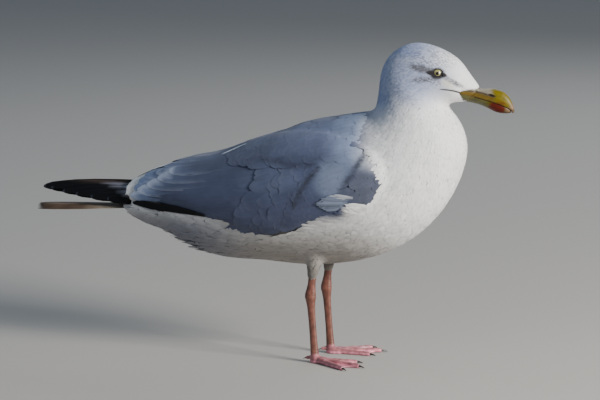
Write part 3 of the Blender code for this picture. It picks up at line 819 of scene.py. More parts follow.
spots = scattered(CANDIDATES)
coat = coat_at(spots)
reach = np.sqrt(coat[:, 2] * coat[:, 3]) * SPACING
facing = np.array([bed_surface.find_nearest(Vector(p))[1].x for p in spots])
x, _, z = spots.T
at_bill = (x > BILL_FRONT_X) & (np.abs(z - BILL_Z) < BILL_HALF) & (facing > 0.75)
under_horn = (x > HORN_X) & (z > HORN_LOW) & (z < HORN_HIGH)
at_eye = np.hypot(x - EYE_X - EYE_AHEAD, z - EYE_Z) <= EYE_CLEAR
below_thigh = (on_thigh(spots) >= 0.5) & (z <= THIGH_CUT_Z)
free = (x > LAST_ROOT_X) & ~at_bill & ~under_horn & ~at_eye & ~below_thigh
spots, coat, reach = spots[free], coat[free], reach[free]
roots = []
for low, high in zip(REACH_STEPS, REACH_STEPS[1:]):
    mine = np.flatnonzero((reach >= low) & (reach < high))
    if len(mine):
        roots.append(mine[spread(spots[mine], reach[mine])])
roots = np.concatenate(roots)
before_wing = (spots[roots, 0] > FRONT_X) & ~within(wing_surface, spots[roots], FRONT_CLEAR)
roots = roots[before_wing | ~within(wing_surface, spots[roots], WING_CLEAR)]
roots = roots[~within(primaries_surface, spots[roots], PRIMARIES_CLEAR)]
roots = roots[~over_wing(spots[roots])]
spots, coat = spots[roots], coat[roots]
print("body feathers:", len(roots))

# %% [markdown]
# ## The body coat
#
# Head, neck, breast and belly wear narrow soft plumes that merge into one white surface. The
# mantle's are broad and lie flat like tiles. Under the tail the long loose tips stand out a
# little from the body, and give it a ragged lower edge.


# %% The body coat
LAST_TIP_X = -162.0


def body_coat(name, mine, slot, material, shape):
    """One piece of the coat: the feathers whose roots have these numbers."""
    spot, own = spots[mine], coat[mine]
    count = len(mine)
    aims = np.stack([own[:, 0], np.zeros(count), own[:, 1]], axis=1) + dice.normal(0, 0.09, (count, 3))
    lengths = own[:, 2] * dice.uniform(0.85, 1.15, count)
    widths = own[:, 3] * dice.uniform(0.88, 1.12, count)
    centres, normals = walk(spot, aims, lengths, SHAPES[shape][0])
    tips = centres[:, -1]
    keep = np.hypot(tips[:, 0] - EYE_X - EYE_AHEAD, tips[:, 2] - EYE_Z) > TIPS_CLEAR
    keep &= tips[:, 0] > LAST_TIP_X
    keep &= ~within(primaries_surface, tips, PRIMARIES_CLEAR)
    keep &= ~over_wing(tips) & ~over_wing(centres[:, 2])
    centres, normals, lengths, widths, own, spot = (
        a[keep] for a in (centres, normals, lengths, widths, own, spot))
    count = len(spot)
    loose = ramp(spot[:, 0], -40, -75) * ramp(spot[:, 2], 132, 116)
    vanes = Vanes(shape, centres, normals, lengths, widths, sink=own[:, 4] * 0.8, slope=0.014,
                  rise=dice.uniform(-0.12, 0.06, count) * np.clip(lengths / 12, 0.25, 1),
                  thick=0.12, ragged=0.08, roll=0.12, lean=0.03, drape=True,
                  tips_up=loose * dice.uniform(0, 4.5, count))
    show_vanes(name, [vanes.paint_by(plumage)], material, slot)


x, y, z = spots.T
is_head = z > 284 - 0.1 * (x - 120)
is_face = is_head & (x > 181)
is_neck = ~is_head & (z > 238) & (x > 104)
is_back = ~is_head & ~is_neck & (z > 200) & (x < 125) & (np.abs(y) < 60)
is_breast = ~is_head & ~is_neck & ~is_back & (x > 95)
is_belly = ~is_head & ~is_neck & ~is_back & ~is_breast
is_head &= ~is_face
for region, mine, slot, material, shape in (
        ("face", is_face, "plumage_white", soft_plumage, "plume"),
        ("head", is_head, "plumage_white", soft_plumage, "plume"),
        ("neck", is_neck, "plumage_white", soft_plumage, "plume"),
        ("breast", is_breast, "plumage_white", soft_plumage, "plume"),
        ("back", is_back, "plumage_grey", wing_plumage, "covert"),
        ("belly", is_belly, "plumage_loose", soft_plumage, "plume")):
    body_coat(f"coat_{region}", np.flatnonzero(mine), slot, material, shape)

# %% [markdown]
# ## The folded wing
#
# A folded wing is a stack of tracts. Lowest lie the long secondaries. Over their roots lie the
# greater, median and lesser coverts, each row shorter than the one behind it, and over the top
# edge fall the scapulars from the bird's shoulder. A tract is a sheet of rows between a front
# and a rear line, and every second row is shifted by half a feather, as roof tiles are. In
# moult the rows open here and there along a fold, and the shade in it is laid on with the grey.

# %% The folded wing
# Paler grey at the front of the wing: partly painted light, partly the grey fading into the white neck.
FRONT_PALE_LIT_GREY = np.array((0.26, 0.325, 0.475))
# Pale feather edges; on the tertials it is also a painted sheen along their edges.
FRINGE_AND_SHEEN = np.array((0.36, 0.39, 0.46))
TIP_WHITE = np.array((0.50, 0.56, 0.70))
TIP_BLUE = np.array((0.20, 0.27, 0.46))
# The folds, where a row of feathers has opened, with painted shade along them: (x, z) from the top.
SCAPULAR_FOLD = ((64, 226), (56, 220), (40, 218), (31, 218), (24, 222), (0, 223))
COVERT_FOLD = ((66, 217), (56, 206), (46, 190), (40, 175))
BEND_FOLD = ((113, 230), (104, 214), (96, 202), (91, 190))
# Each fold with how wide its shade is and how dark.
FOLDS = ((SCAPULAR_FOLD, 4.5, 0.5), (COVERT_FOLD, 4.0, 0.8), (BEND_FOLD, 5.5, 0.85))


def distance_to(places, line):
    """How far each (x, z) place lies from a line of straight pieces."""
    far = np.full(len(places), 1e9)
    for a, b in zip(np.array(line, float), np.array(line[1:], float)):
        t = np.clip((places - a) @ (b - a) / ((b - a) @ (b - a)), 0, 1)
        far = np.minimum(far, np.linalg.norm(places - a - t[:, None] * (b - a), axis=1))
    return far


def wing_colour(points, luck):
    """Blue-grey: paler up on the mantle and towards the neck, partly as painted light, darker down the side,
    with painted blue shade on the ridge and painted shade in the folds, and duller at the bend of the wing.
    """
    x, _, z = points.T
    colours = np.tile(WING_SHADED_GREY, (len(points), 1))
    # Painted light: paler up on the mantle, with a paler patch mid-wing, and painted blue shade along the
    # ridge.
    colours = blend(colours, MANTLE_LIT_GREY, ramp(z, 216, 262) * ramp(x, -70, 40))
    colours = blend(colours, MANTLE_LIT_GREY * 0.8, 0.5 * near(points, 14, 204, 44, 18))
    colours = blend(colours, RIDGE_SHADE_BLUE, 0.6 * ramp(np.abs(points[:, 1]), 40, 16))
    # Paler at the front, partly painted light and partly the grey meeting the white neck, with a paler patch
    # below.
    colours = blend(colours, FRONT_PALE_LIT_GREY, ramp(x, 60, 116) * ramp(z, 204, 240))
    colours = blend(colours, FRONT_PALE_LIT_GREY * 0.6, 0.8 * near(points, 82, 206, 26, 28))
    colours = blend(colours, WHITE * 0.9, ramp(x + (z - 240) * 0.1, 96, 130) * ramp(z, 206, 234))
    colours = blend(colours, BEND_GREY, 1.3 * near(points, 118, 196, 25, 25))
    for fold, wide, strength in FOLDS:
        far = distance_to(points[:, [0, 2]], fold)
        colours = blend(colours, FOLD_SHADE, strength * ramp(far, wide, 0.6) * (0.6 + 0.8 * luck))
    return colours * (0.96 + 0.08 * luck)[:, None]


def along(line, t):
    """Points at t (0 to 1) along a line through a few (x, y, z) places."""
    line = np.array(line, float)
    travel = np.concatenate([[0], np.cumsum(np.linalg.norm(np.diff(line, axis=0), axis=1))])
    return np.stack([np.interp(t * travel[-1], travel, line[:, k]) for k in range(3)], axis=1)


def tract(side, front, rear, rows, per_row, aims, length, width, rise):
    """Blades in staggered rows between two lines. Pairs hold the value at the front and rear."""
    back = np.repeat(np.arange(rows) / max(rows - 1, 1), per_row)
    shift = np.repeat(0.25 + 0.5 * (np.arange(rows) % 2), per_row)
    t = (np.tile(np.arange(per_row), rows) + shift + dice.uniform(-0.3, 0.3, len(back))) / per_row
    back = np.clip(back + dice.uniform(-0.3, 0.3, len(back)) / max(rows - 1, 1), 0, 1)
    t = np.clip(t, 0, 1)
    b = back[:, None]
    spot = along(front, t) * (1 - b) + along(rear, t) * b + dice.normal(0, 0.5, (len(t), 3))
    aim_at = np.array(aims[0]) * (1 - b) + np.array(aims[1]) * b + dice.normal(0, 0.055, (len(t), 3))
    spot[:, 1] *= side
    aim_at[:, 1] *= side
    lengths = (length[0] + (length[1] - length[0]) * back) * dice.uniform(0.88, 1.12, len(t))
    widths = (width[0] + (width[1] - width[0]) * back) * dice.uniform(0.92, 1.08, len(t))
    centres, normals = walk(spot, aim_at, lengths, SHAPES["covert"][0])
    vanes = Vanes("covert", centres, normals, lengths, widths, sink=2.0,
                  slope=0.014 + 0.03 * ramp(back, 0.08, 0), arch=0.012, thick=0.10, ragged=0.03,
                  rise=rise + dice.uniform(-0.04, 0.04, len(t)),
                  roll=0.05, lean=0.018, tips_up=-0.14, drape=True)
    vanes.paint_by(wing_colour)
    return vanes.mark(FRINGE_AND_SHEEN, 0.05 * ramp(vanes.u + 0.06 * np.abs(vanes.v), 0.86, 1.0))


def side_lines(surface, side, pairs, shape, bow, y_else):
    """Middle lines, straight from root to tip as seen from the side, laid on a surface."""
    steps = SHAPES[shape][0]
    centres = np.zeros((len(pairs), len(steps), 3))
    normals = np.zeros_like(centres)
    for i, (root, tip) in enumerate(pairs):
        hit, normal = None, Vector((0, side, 0))
        for k, t in enumerate(steps):
            x = root[0] + (tip[0] - root[0]) * t
            z = root[1] + (tip[1] - root[1]) * t + bow * math.sin(math.pi * t)
            found, facing, _, _ = surface.ray_cast(Vector((x, side * 95, z)), Vector((0, -side, 0)))
            if found is None and hit is None:
                found, facing, _, _ = surface.find_nearest(Vector((x, side * y_else, z)))
            if found is not None:
                hit = found
                normal = (normal + facing * 2).normalized() if k else facing
            centres[i, k] = (x, hit.y, z)
            normals[i, k] = normal
    return centres, normals


def side_vanes(surface, side, pairs, shape, width, rises, bow=0.0, y_else=20.0, **shape_of):
    """Blades along such lines, all of one width."""
    centres, normals = side_lines(surface, side, pairs, shape, bow, y_else)
    lengths = np.linalg.norm(centres[:, -1] - centres[:, 0], axis=1)
    return Vanes(shape, centres, normals, lengths, np.full(len(pairs), width), rise=np.array(rises),
                 **shape_of)


def shifted(line, ahead, up):
    """The line moved forward and up."""
    return [(x + ahead, y, z + up) for x, y, z in line]


LEAD = [(116, 66, 247), (132, 66, 231), (142, 62, 209), (132, 66, 190), (114, 68, 177), (88, 69, 166)]
FOLD = [(70, 72, 240), (62, 73, 222), (52, 73, 200), (42, 72, 178), (34, 70, 158), (26, 68, 148)]
UNDER_FOLD = [(46, 72, 236), (40, 73, 214), (32, 72, 194), (24, 71, 174), (16, 69, 157), (8, 66, 146)]
BACKWARD = ((-0.93, 0, -0.36), (-0.95, 0, -0.3))
SCAPULAR_ROOTS = [(118, 10, 272), (114, 34, 266), (112, 52, 256), (114, 62, 247), (112, 67, 239)]
SCAPULAR_ENDS = [(-10, 6, 243), (-10, 18, 241), (-4, 34, 237), (10, 50, 234), (34, 60, 234)]
# (root x, z) and (tip x, z) of the long secondaries, from the outermost, which lies lowest.
SECONDARIES = [((60, 170), (-22, 147.5)), ((48, 174), (-42, 152)), ((36, 178), (-60, 157.5)),
               ((24, 182), (-78, 163)), ((12, 186), (-96, 168)), ((0, 189), (-120, 169.5)),
               ((-12, 193), (-148, 171.5))]

for side, word in SIDES:
    long_ones = side_vanes(bed_surface, side, SECONDARIES, "long", 21.0,
                           np.linspace(-0.8, -0.55, len(SECONDARIES)), sink=1.5, thick=0.2,
                           arch=0.012, roll=0.1, lean=0.02, drape=True)
    long_ones.paint(wing_colour(long_ones.middle, long_ones.luck))
    show_vanes(f"secondaries_{word}", [long_ones], wing_plumage, "plumage_grey")
    greater = tract(side, FOLD, UNDER_FOLD, 2, 12, BACKWARD, (46, 54), (17, 19), -0.3)
    median = tract(side, shifted(FOLD, 14, 1), FOLD, 2, 13, BACKWARD, (28, 34), (13, 15), -0.15)
    lesser = tract(side, LEAD, shifted(FOLD, 12, 1), 9, 14, ((-0.88, 0, -0.48), BACKWARD[0]),
                   (16, 24), (9.5, 12), 0.0)
    show_vanes(f"coverts_{word}", [greater, median, lesser], wing_plumage, "plumage_grey")
    scapulars = tract(side, SCAPULAR_ROOTS, SCAPULAR_ENDS, 12, 11,
                      ((-0.97, 0.05, -0.22), (-0.97, 0.0, -0.27)), (20, 44), (13, 20), 0.4)
    show_vanes(f"scapulars_{word}", [scapulars], wing_plumage, "plumage_grey")

# %% [markdown]
# ## Tertials and the flank's loose tuft
#
# Broad feathers close the folded wing behind the scapulars, and the two wings' innermost ones
# meet over the rump. Their pale tips draw a slanted band in front of the black primaries. On
# the right wing one scapular's white edge has turned up, a short bright line under the ridge.
# At the front a tuft of pale flank feathers has slipped over the wing's lower edge.

# %% Tertials and the flank's loose tuft
# (root x, z) and (tip x, z), from the lowest to the one on top.
TERTIALS = [((24, 195), (-153, 173.5)), ((21, 203), (-144, 181)), ((18, 210), (-133, 188)),
            ((14, 217), (-121, 195.5)), ((8, 225), (-109, 203))]
# Those under them, whose ends stand out behind.
UNDER_TERTIALS = [((-60, 198), (-149, 183)), ((-58, 206), (-145, 190.5)), ((-56, 213), (-139, 197))]
# The innermost: root (x, y, z), direction and length.
INNER_TERTIALS = [((-14, 44, 226), (-1, -0.22, -0.27), 116), ((-16, 34, 231), (-1, -0.20, -0.28), 106),
                  ((-18, 24, 235), (-1, -0.14, -0.29), 98), ((-20, 14, 238), (-1, -0.08, -0.3), 90),
                  ((-22, 5, 239), (-1, -0.03, -0.3), 82)]
# The white tips draw a slanted band: (x, z).
TIP_BAND = ((-154, 172.5), (-130, 187.5), (-105, 204))
# A white edge along the rear of the right wing's scapulars: root (x, y, z), direction and length.
CRESCENT, CRESCENT_BOW = ((-26, -21.5, 239), (-0.86, -0.14, -0.49), 29), 3.0
RIM_WHITE = np.array((0.62, 0.69, 0.80))
# The tuft's plumes run from one line to the other. Both are (x, z), from the upper end down.
TUFT = ((99, 188), (108, 182), (103, 175.5)), ((82, 189.5), (64, 180), (74, 174.5))
# So do the white plumes under it, and those of the breast that cover its roots.
TUFT_UNDER = ((109, 171), (93, 161), (72, 152)), ((84, 171.5), (64, 163.5), (45, 152))
TUFT_COVER = ((121, 177), (114, 172), (104, 165)), ((101, 181), (94, 176.5), (84, 171))
TUFT_PALE = np.array((0.155, 0.185, 0.255))

def strands(side, lines, count, shape, width, rise, slope):
    """Narrow plumes in a row, each from one line to the other, that rise out of the coat."""
    row = np.linspace(0, 1, count) + dice.uniform(-0.4, 0.4, count) / count
    ends = []
    for line, scatter in zip(lines, ((3, 1), (1, 1))):
        places = np.stack([np.interp(row, (0, 0.5, 1), [p[k] for p in line]) for k in (0, 1)], axis=1)
        ends.append(places + dice.normal(0, 1.0, (count, 2)) * scatter)
    return row.clip(0, 1), side_vanes(bed_surface, side, list(zip(*ends)), shape, width,
                                      rise + dice.uniform(0, 0.35, count), sink=1.5, slope=slope, ragged=0.1,
                                      arch=0.03, tips_up=-0.25, drape=True)


for side, word in SIDES:
    outer, under = (side_vanes(bed_surface, side, lines, "long", 22.0, np.linspace(low, high, len(lines)),
                               sink=2.0, slope=0.008, thick=0.16, arch=0.012, roll=0.08, lean=0.015,
                               drape=True)
                    for lines, low, high in ((TERTIALS, -0.2, 0.3), (UNDER_TERTIALS, -0.8, -0.5)))
    starts = np.array([(x, side * y, z) for (x, y, z), _, _ in INNER_TERTIALS])
    aims = np.array([(x, side * y, z) for _, (x, y, z), _ in INNER_TERTIALS])
    lengths = np.array([length for _, _, length in INNER_TERTIALS], float)
    lines = walk(starts, aims, lengths, SHAPES["long"][0])
    inner = Vanes("long", *lines, lengths, np.full(len(starts), 21.0), sink=2.0, thick=0.2, arch=0.012,
                  rise=np.linspace(0.1, 0.8, len(starts)), roll=0.1, lean=0.02, drape=True)
    for group in (outer, under, inner):
        group.paint_by(wing_colour)
        behind = ramp(group.points[..., 0], -112, -142)
        group.mark(TIP_BLUE, (0.2 + 0.55 * behind) * ramp(group.u, 0.70, 0.92))
        off_band = distance_to(group.points.reshape(-1, 3)[:, [0, 2]], TIP_BAND).reshape(group.u.shape)
        group.mark(TIP_WHITE, 0.6 * ramp(off_band, 5.5, 1.0))
        # A painted sheen along the tertials' edges.
        group.mark(FRINGE_AND_SHEEN, 0.25 * ramp(np.abs(group.v), 0.85, 1.0) * ramp(group.u, 0.4, 0.8))
    for group in (outer, inner):
        behind = ramp(group.points[..., 0], -108, -140)
        group.mark(TIP_WHITE, (0.12 + 0.33 * behind) * ramp(group.u + 0.03 * np.abs(group.v), 0.925, 0.985))
    row, tuft = strands(side, TUFT, 34, "covert", 3.4, 1.0, 0.035)
    tuft.paint(TUFT_PALE * (dice.uniform(0.75, 1.3, len(row)) * (1.15 - 0.3 * row))[:, None])
    tuft.mark(WHITE, 0.35 * (row < 0.08)[:, None, None] * np.ones_like(tuft.u))
    tuft.mark(BEND_GREY, 0.8 * ramp(tuft.u, 0.3, 0.0))
    groups = [tuft]
    for lines, rise, slope in ((TUFT_UNDER, 0.2, 0.02), (TUFT_COVER, 1.3, 0.075)):
        groups.append(strands(side, lines, 26, "plume", 4.6, rise, slope)[1].paint_by(plumage))
    show_vanes(f"flank_tuft_{word}", groups[:1], soft_plumage, "plumage_white")
    show_vanes(f"flank_plumes_{word}", groups[1:], soft_plumage, "plumage_white")
    closing = [outer, under, inner]
    if word == "right":
        spot, aim_at, length = CRESCENT
        line, out = walk([spot], [aim_at], [length], SHAPES["long"][0])
        line[..., 2] += CRESCENT_BOW * np.sin(np.pi * np.array(SHAPES["long"][0]))
        crescent = Vanes("long", *draped(line, out), [length], [2.7], rise=1.1, thick=0.3, drape=True)
        closing.append(crescent.paint(RIM_WHITE[None]))
    show_vanes(f"tertials_{word}", closing, wing_plumage, "plumage_grey")

# %% [markdown]
# ## Primaries
#
# The wing tip is a closed fan of long stiff feathers, black with a small pale spot at each end.
# The longest lies innermost and highest, and each one over it ends a little sooner and lower.
# They reach past the body, so they are laid against the solid of the primaries.

# %% Primaries
# (root x, z) and (tip x, z), from the longest and innermost outwards.
PRIMARIES = [((-132, 183.5), (-259.5, 177.5)), ((-128, 181), (-250, 175.8)), ((-122, 178), (-236, 173.5)),
             ((-112, 175), (-220, 171.2)), ((-100, 172), (-202, 169.2)), ((-86, 168.5), (-182, 168))]
# The outermost shows as a dark sliver along the wing's lower edge.
OUTERMOST = [((-62, 159.5), (-150, 166.5))]
BLACK = np.array((0.004, 0.004, 0.005))
WORN_BROWN = np.array((0.075, 0.052, 0.042))
WORN_GREY = np.array((0.36, 0.36, 0.43))

for side, word in SIDES:
    solid = surface_of(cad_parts[f"primaries_{word}"].data)
    blades = side_vanes(solid, side, PRIMARIES, "long", 12.5, np.arange(6) * 0.3 - 1.7, bow=2.0,
                        arch=0.01, thick=0.3)
    sliver = side_vanes(bed_surface, side, OUTERMOST, "long", 9.0, [0.3], bow=1.6, arch=0.01, thick=0.2,
                        drape=True)
    for group, row in ((blades, 0.25), (sliver, 0.75)):
        count = len(group.points)
        group.spots = np.stack([(np.arange(count) + 0.5) / 7, np.full(count, row)], axis=1)
        group.patch = 0.1
    sliver.paint(BLACK[None] * 1.5)
    flat = blades.points.reshape(-1, 3)
    shape_of_all = blades.points.shape[:3]
    upper_edge = near(flat, -195, 186.5, 46, 4.5).reshape(shape_of_all)
    worn = near(flat, -162, 183, 18, 10, -35).reshape(shape_of_all)
    blades.paint(BLACK[None]).mark(WORN_BROWN, 0.8 * upper_edge).mark(WORN_GREY, 0.75 * worn)
    blades.mark(TIP_WHITE * 0.4, 0.5 * ramp(blades.u, 0.975, 0.985))
    show_vanes(f"primary_vanes_{word}", [blades, sliver], flight_plumage, "plumage_black",
               f"primaries_{word}", soft=False)

# %% [markdown]
# ## Tail
#
# Twelve tail feathers lie nearly closed, the middle pair on top. They are pale at the root,
# washed with brown, darker along their sides and in a band before the pale tip.

# %% Tail
TAIL_ROOT_X, TAIL_TOP_Z, TAIL_DROP, TAIL_CROWN = -148.0, 161.3, 3.4, 2.4
TAIL_PAIRS, TAIL_WIDTH = 6, 15.0
TAIL_PALE = np.array((0.42, 0.36, 0.28))
TAIL_BROWN = np.array((0.21, 0.145, 0.10))
TAIL_DARK = np.array((0.020, 0.015, 0.012))

tail_low, tail_high = (np.array(c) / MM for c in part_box("tail"))
pair = np.repeat(np.arange(TAIL_PAIRS), 2)
hand = np.tile((-1, 1), TAIL_PAIRS)
steps = np.array(SHAPES["long"][0])
tips_x = tail_low[0] + 0.4 * pair**1.5
root_y = hand * (1.5 + 2.2 * pair)
tip_y = hand * (2.0 + (tail_high[1] - 9.0) / (TAIL_PAIRS - 1) * pair)
lines = np.zeros((len(pair), len(steps), 3))
lines[..., 0] = TAIL_ROOT_X + np.outer(tips_x - TAIL_ROOT_X, steps)
lines[..., 1] = root_y[:, None] + np.outer(tip_y - root_y, steps**0.8)
lines[..., 2] = TAIL_TOP_Z - TAIL_DROP * steps - TAIL_CROWN * (lines[..., 1] / tail_high[1]) ** 2
upright = np.zeros_like(lines)
upright[..., 2] = 1.0
fan = Vanes("long", lines, upright, np.abs(tips_x - TAIL_ROOT_X), np.full(len(pair), TAIL_WIDTH),
            rise=-0.32 * pair - 0.16 * (hand > 0), arch=0.015, thick=0.35, ragged=0.01)
fan.spots = np.stack([(np.arange(len(pair)) + 0.5) / len(pair), np.full(len(pair), 0.5)], axis=1)
fan.patch = 0.07
fan.paint(TAIL_PALE * (0.85 + 0.3 * fan.luck)[:, None])
fan.mark(TAIL_BROWN, ramp(fan.u + 0.06 * fan.v, 0.34, 0.5))
fan.mark(TAIL_DARK, 0.85 * ramp(np.abs(fan.v), 0.7, 1.0) * ramp(fan.u, 0.3, 0.5))
fan.mark(TAIL_DARK, 0.7 * ramp(fan.u, 0.90, 0.96))
fan.mark(TAIL_PALE * 0.7, 0.6 * ramp(fan.u, 0.985, 0.995))
show_vanes("tail_feathers", [fan], flight_plumage, "plumage_tail", "tail", soft=False)

# %% [markdown]
# ## Legs and feet
#
# The bare leg and the webbed foot are one skin. Copies of the shank and foot are remeshed
# finely and smoothed. Then steps are pressed up the front of the shank and over the toes, where
# the real bird has a row of horny plates.

# %% Legs and feet
PLATE_HEIGHT, PLATE_PITCH, LEG_VOXEL = 0.3, 2.7, 0.62 * MM
# The shank starts over the foot, and the toes spread from a hub a little behind its front.
SHANK_START, HUB_BACK, ANKLE_Z, ANKLE_REACH = (8.5, 11), 3.0, 73, 9
LEG_PINK = np.array((0.19, 0.070, 0.047))
LEG_DARK = np.array((0.10, 0.042, 0.033))
WEB_PINK = np.array((0.78, 0.28, 0.36))

leg_finish = finish("leg_finish", 0.42, (0.6, 1.3), 190.0, coat=0.15, relief=0.5)


def plates(value):
    """Rises from 0 to 1 and drops again, once in each unit."""
    t = value % 1.0
    return t * (1 - ramp(t, 0.8, 1.0))


def set_points(mesh, points):
    """Moves the mesh's points to these places, in millimetres."""
    mesh.vertices.foreach_set("co", (points * MM).astype(np.float32).ravel())
    mesh.update()


def leg_skin(word):
    """The smooth skin of one leg and foot, with its plates and colours."""
    leg = remeshed(merged_copy([f"shank_{word}", f"foot_{word}"], f"leg_{word}"), LEG_VOXEL, 6, 0.4)
    at, out = points_of(leg.data), normals_of(leg.data)
    low, high = (np.array(c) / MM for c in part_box(f"shank_{word}"))
    hub = np.array((high[0] - HUB_BACK, (low[1] + high[1]) / 2))
    shank = ramp(at[:, 2], *SHANK_START)
    front = ramp(out[:, 0], 0.0, 0.5)
    toe_top = ramp(at[:, 2], 2.2, 4.2) * ramp(out[:, 2], 0.2, 0.7) * (1 - shank)
    from_hub = np.hypot(at[:, 0] - hub[0], at[:, 1] - hub[1])
    steps_up = plates(at[:, 2] / PLATE_PITCH) * front * shank
    steps_out = plates(-from_hub / (PLATE_PITCH * 0.85)) * toe_top
    at += out * ((steps_up + steps_out) * PLATE_HEIGHT)[:, None]
    at[:, 2] = np.maximum(at[:, 2], 0.0)
    set_points(leg.data, at)
    knuckle = np.exp(-(((at[:, 2] - ANKLE_Z) / ANKLE_REACH) ** 2))
    grooves = (1 - np.clip(steps_up * 3, 0, 1)) * front * shank
    rear = ramp(out[:, 0], 0.2, -0.8) * shank
    colours = np.tile(LEG_PINK, (len(at), 1))
    # Darker in the grooves between the plates, with painted shade down the back of the shank.
    colours = blend(colours, LEG_DARK, 0.45 * grooves + 0.4 * rear - 0.2 * knuckle)
    colours = blend(colours, WEB_PINK, (1 - shank) * (0.35 + 0.65 * ramp(at[:, 2], 3.6, 1.8)))
    store_tint(leg.data, colours)
    leg.data.materials.append(leg_finish)
    return leg


legs = [leg_skin(word) for _, word in SIDES]
print("legs:", [len(leg.data.vertices) for leg in legs], "points")

# %% [markdown]
# ## Eyelids
#
# A gull's eye looks fierce because the upper lid cuts straight across it, and a thin dark rim
# of bare skin runs round it. Each lid is a ring. It starts inside on the eyeball, rolls over
# its own rim and spreads out until it is under the feathers of the face.

# %% Eyelids
LID_POINTS = 72
EYE_AIM = (0.22, 1.0, 0.04)
LID_RIM = np.array((0.012, 0.010, 0.010))
# Rings of a lid: (how far out from the rim, how far from the eye's centre), in millimetres.
LID_RINGS = [(0.9, 6.3), (0.0, 7.15), (0.3, 7.5), (0.8, 7.65), (1.4, 7.45)]
LID_SKIRT = [(7.4, -0.7), (8.2, -2.6)]
LID_RIM_RINGS = 5


def eye_frame(side):
    """The eyeball's centre, its axis, and the directions forward and up across it."""
    centre = np.array((EYE_X, side * EYE_Y, EYE_Z))
    axis = unit(np.array(EYE_AIM) * (1, side, 1))
    forward = unit(np.array((1.0, 0, 0)) - axis * axis[0])
    up = np.cross(axis, forward) * -side
    return centre, axis, forward, up * np.sign(up[2])


def lid(side, word):
    """One closed ring of skin round the eye."""
    centre, axis, forward, up = eye_frame(side)
    turn = np.linspace(0, 2 * math.pi, LID_POINTS, endpoint=False)
    c, s = np.cos(turn), np.sin(turn)
    rim = 4.85 + 0.9 * np.abs(c) ** 3 - 0.4 * (s > 0) * s**2
    around = c[:, None] * forward + s[:, None] * up
    rings = []
    for out, far in LID_RINGS:
        tilt = np.arcsin((rim + out) / (far + 0.6))
        rings.append(centre + far * (np.cos(tilt)[:, None] * axis + np.sin(tilt)[:, None] * around))
    for wide, deep in LID_SKIRT:
        ring = []
        for place in centre + axis * 4.0 + around * wide:
            near_by, normal, _, _ = bed_surface.find_nearest(Vector(place))
            ring.append(np.array(near_by + normal * deep))
        rings.append(ring)
    made = tube(rings, f"lid_{word}", closed=True)
    colours = plumage(points_of(made.data))
    colours[: LID_POINTS * LID_RIM_RINGS] = LID_RIM
    store_tint(made.data, colours)
    made.data.materials.append(leg_finish)
    alone(made)
    bpy.ops.object.shade_smooth()
    return made


lids = [lid(side, word) for side, word in SIDES]

# %% [markdown]
# ## One skin
#
# The skin is the form drawn in by the depth of the coat: a millimetre at the face, nearly five
# at the belly. It carries the same markings as the feathers that cover it. Each leg and each lid
# is a closed shell of its own that starts inside it, joined to the same object.

# %% One skin
skin = new_object("skin", form.data.copy())
at = points_of(skin.data)
depth = coat_at(at)[:, 4]
set_points(skin.data, at - normals_of(skin.data) * depth[:, None])
store_tint(skin.data, plumage(at) * 0.9)
skin.data.materials.append(skin_finish)
joined(skin, legs + lids)
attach(skin, "root")
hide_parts(*FLESH, *WINGS, *SHANKS, "foot_right", "foot_left")
print("skin:", len(triangles_of(skin.data)), "triangles, coat", round(depth.min(), 1), "to",
      round(depth.max(), 1), "mm deep")

# %% [markdown]
# ## Bill
#
# The bill is two horny blades. Copies of the solids give their outline, and a fine remesh turns
# them into smooth horn. The colour changes along it: tan and olive at the root, yellow towards
# the end, a red spot where the lower blade is deepest, and horn-coloured at the very tip. From
# the corner of the mouth the dark line of the gape runs on back into the face. Over it a thin
# edge of horn reaches back from the upper blade in a point, among the feathers of the face.

# %% Bill
BILL_VOXEL, BILL_GROWTH = 0.42 * MM, 0.22
# The rear edge of the horn on the face, from below: x, z. Its front edge leans with the bill's root.
ROOT_REAR = ((213.0, 210.8, 208.4, 208.2, 209.5, 219, 227),
             (286.6, 289.8, 294.5, 296.2, 297.2, 299.0, 300.2))
ROOT_FRONT_X, ROOT_LEAN, ROOT_LIFT, ROOT_SINK = 217.0, 1.1, 0.75, -1.6
ROOT_ROWS, ROOT_COLUMNS, FROM_ASIDE = 18, 10, 60
# Where the blades meet, and the groove over the nostril: x, z.
MOUTH_LINE = ((205, 211, 220.5, 231, 240, 247.5, 253.6, 258.2, 261.4),
              (296.6, 294.8, 292.3, 289.2, 287, 284.4, 282, 279.8, 277.7))
GROOVE_LINE = ((214, 220, 231, 244, 246), (298.4, 297.6, 295.6, 292.0, 291.6))
# The fold behind the corner of the mouth: (x, z, radius).
GAPE = [(209, 296.2, 0.6), (203, 298.4, 0.65), (197, 299.6, 0.5), (189, 300.3, 0.2)]
BILL_YELLOW = np.array((0.135, 0.102, 0.0))
BILL_TAN = np.array((0.24, 0.212, 0.165))
BILL_OCHRE = np.array((0.12, 0.075, 0.008))
BILL_OLIVE = np.array((0.088, 0.084, 0.030))
BILL_RED = np.array((0.085, 0.006, 0.0))
BILL_HORN = np.array((0.17, 0.105, 0.055))
BILL_EDGE = np.array((0.03, 0.02, 0.014))

bill_finish = finish("bill_finish", 0.42, (0.8, 1.15), 1.0, stretch=(130, 500, 500), relief=0.3,
                     specular=0.3)


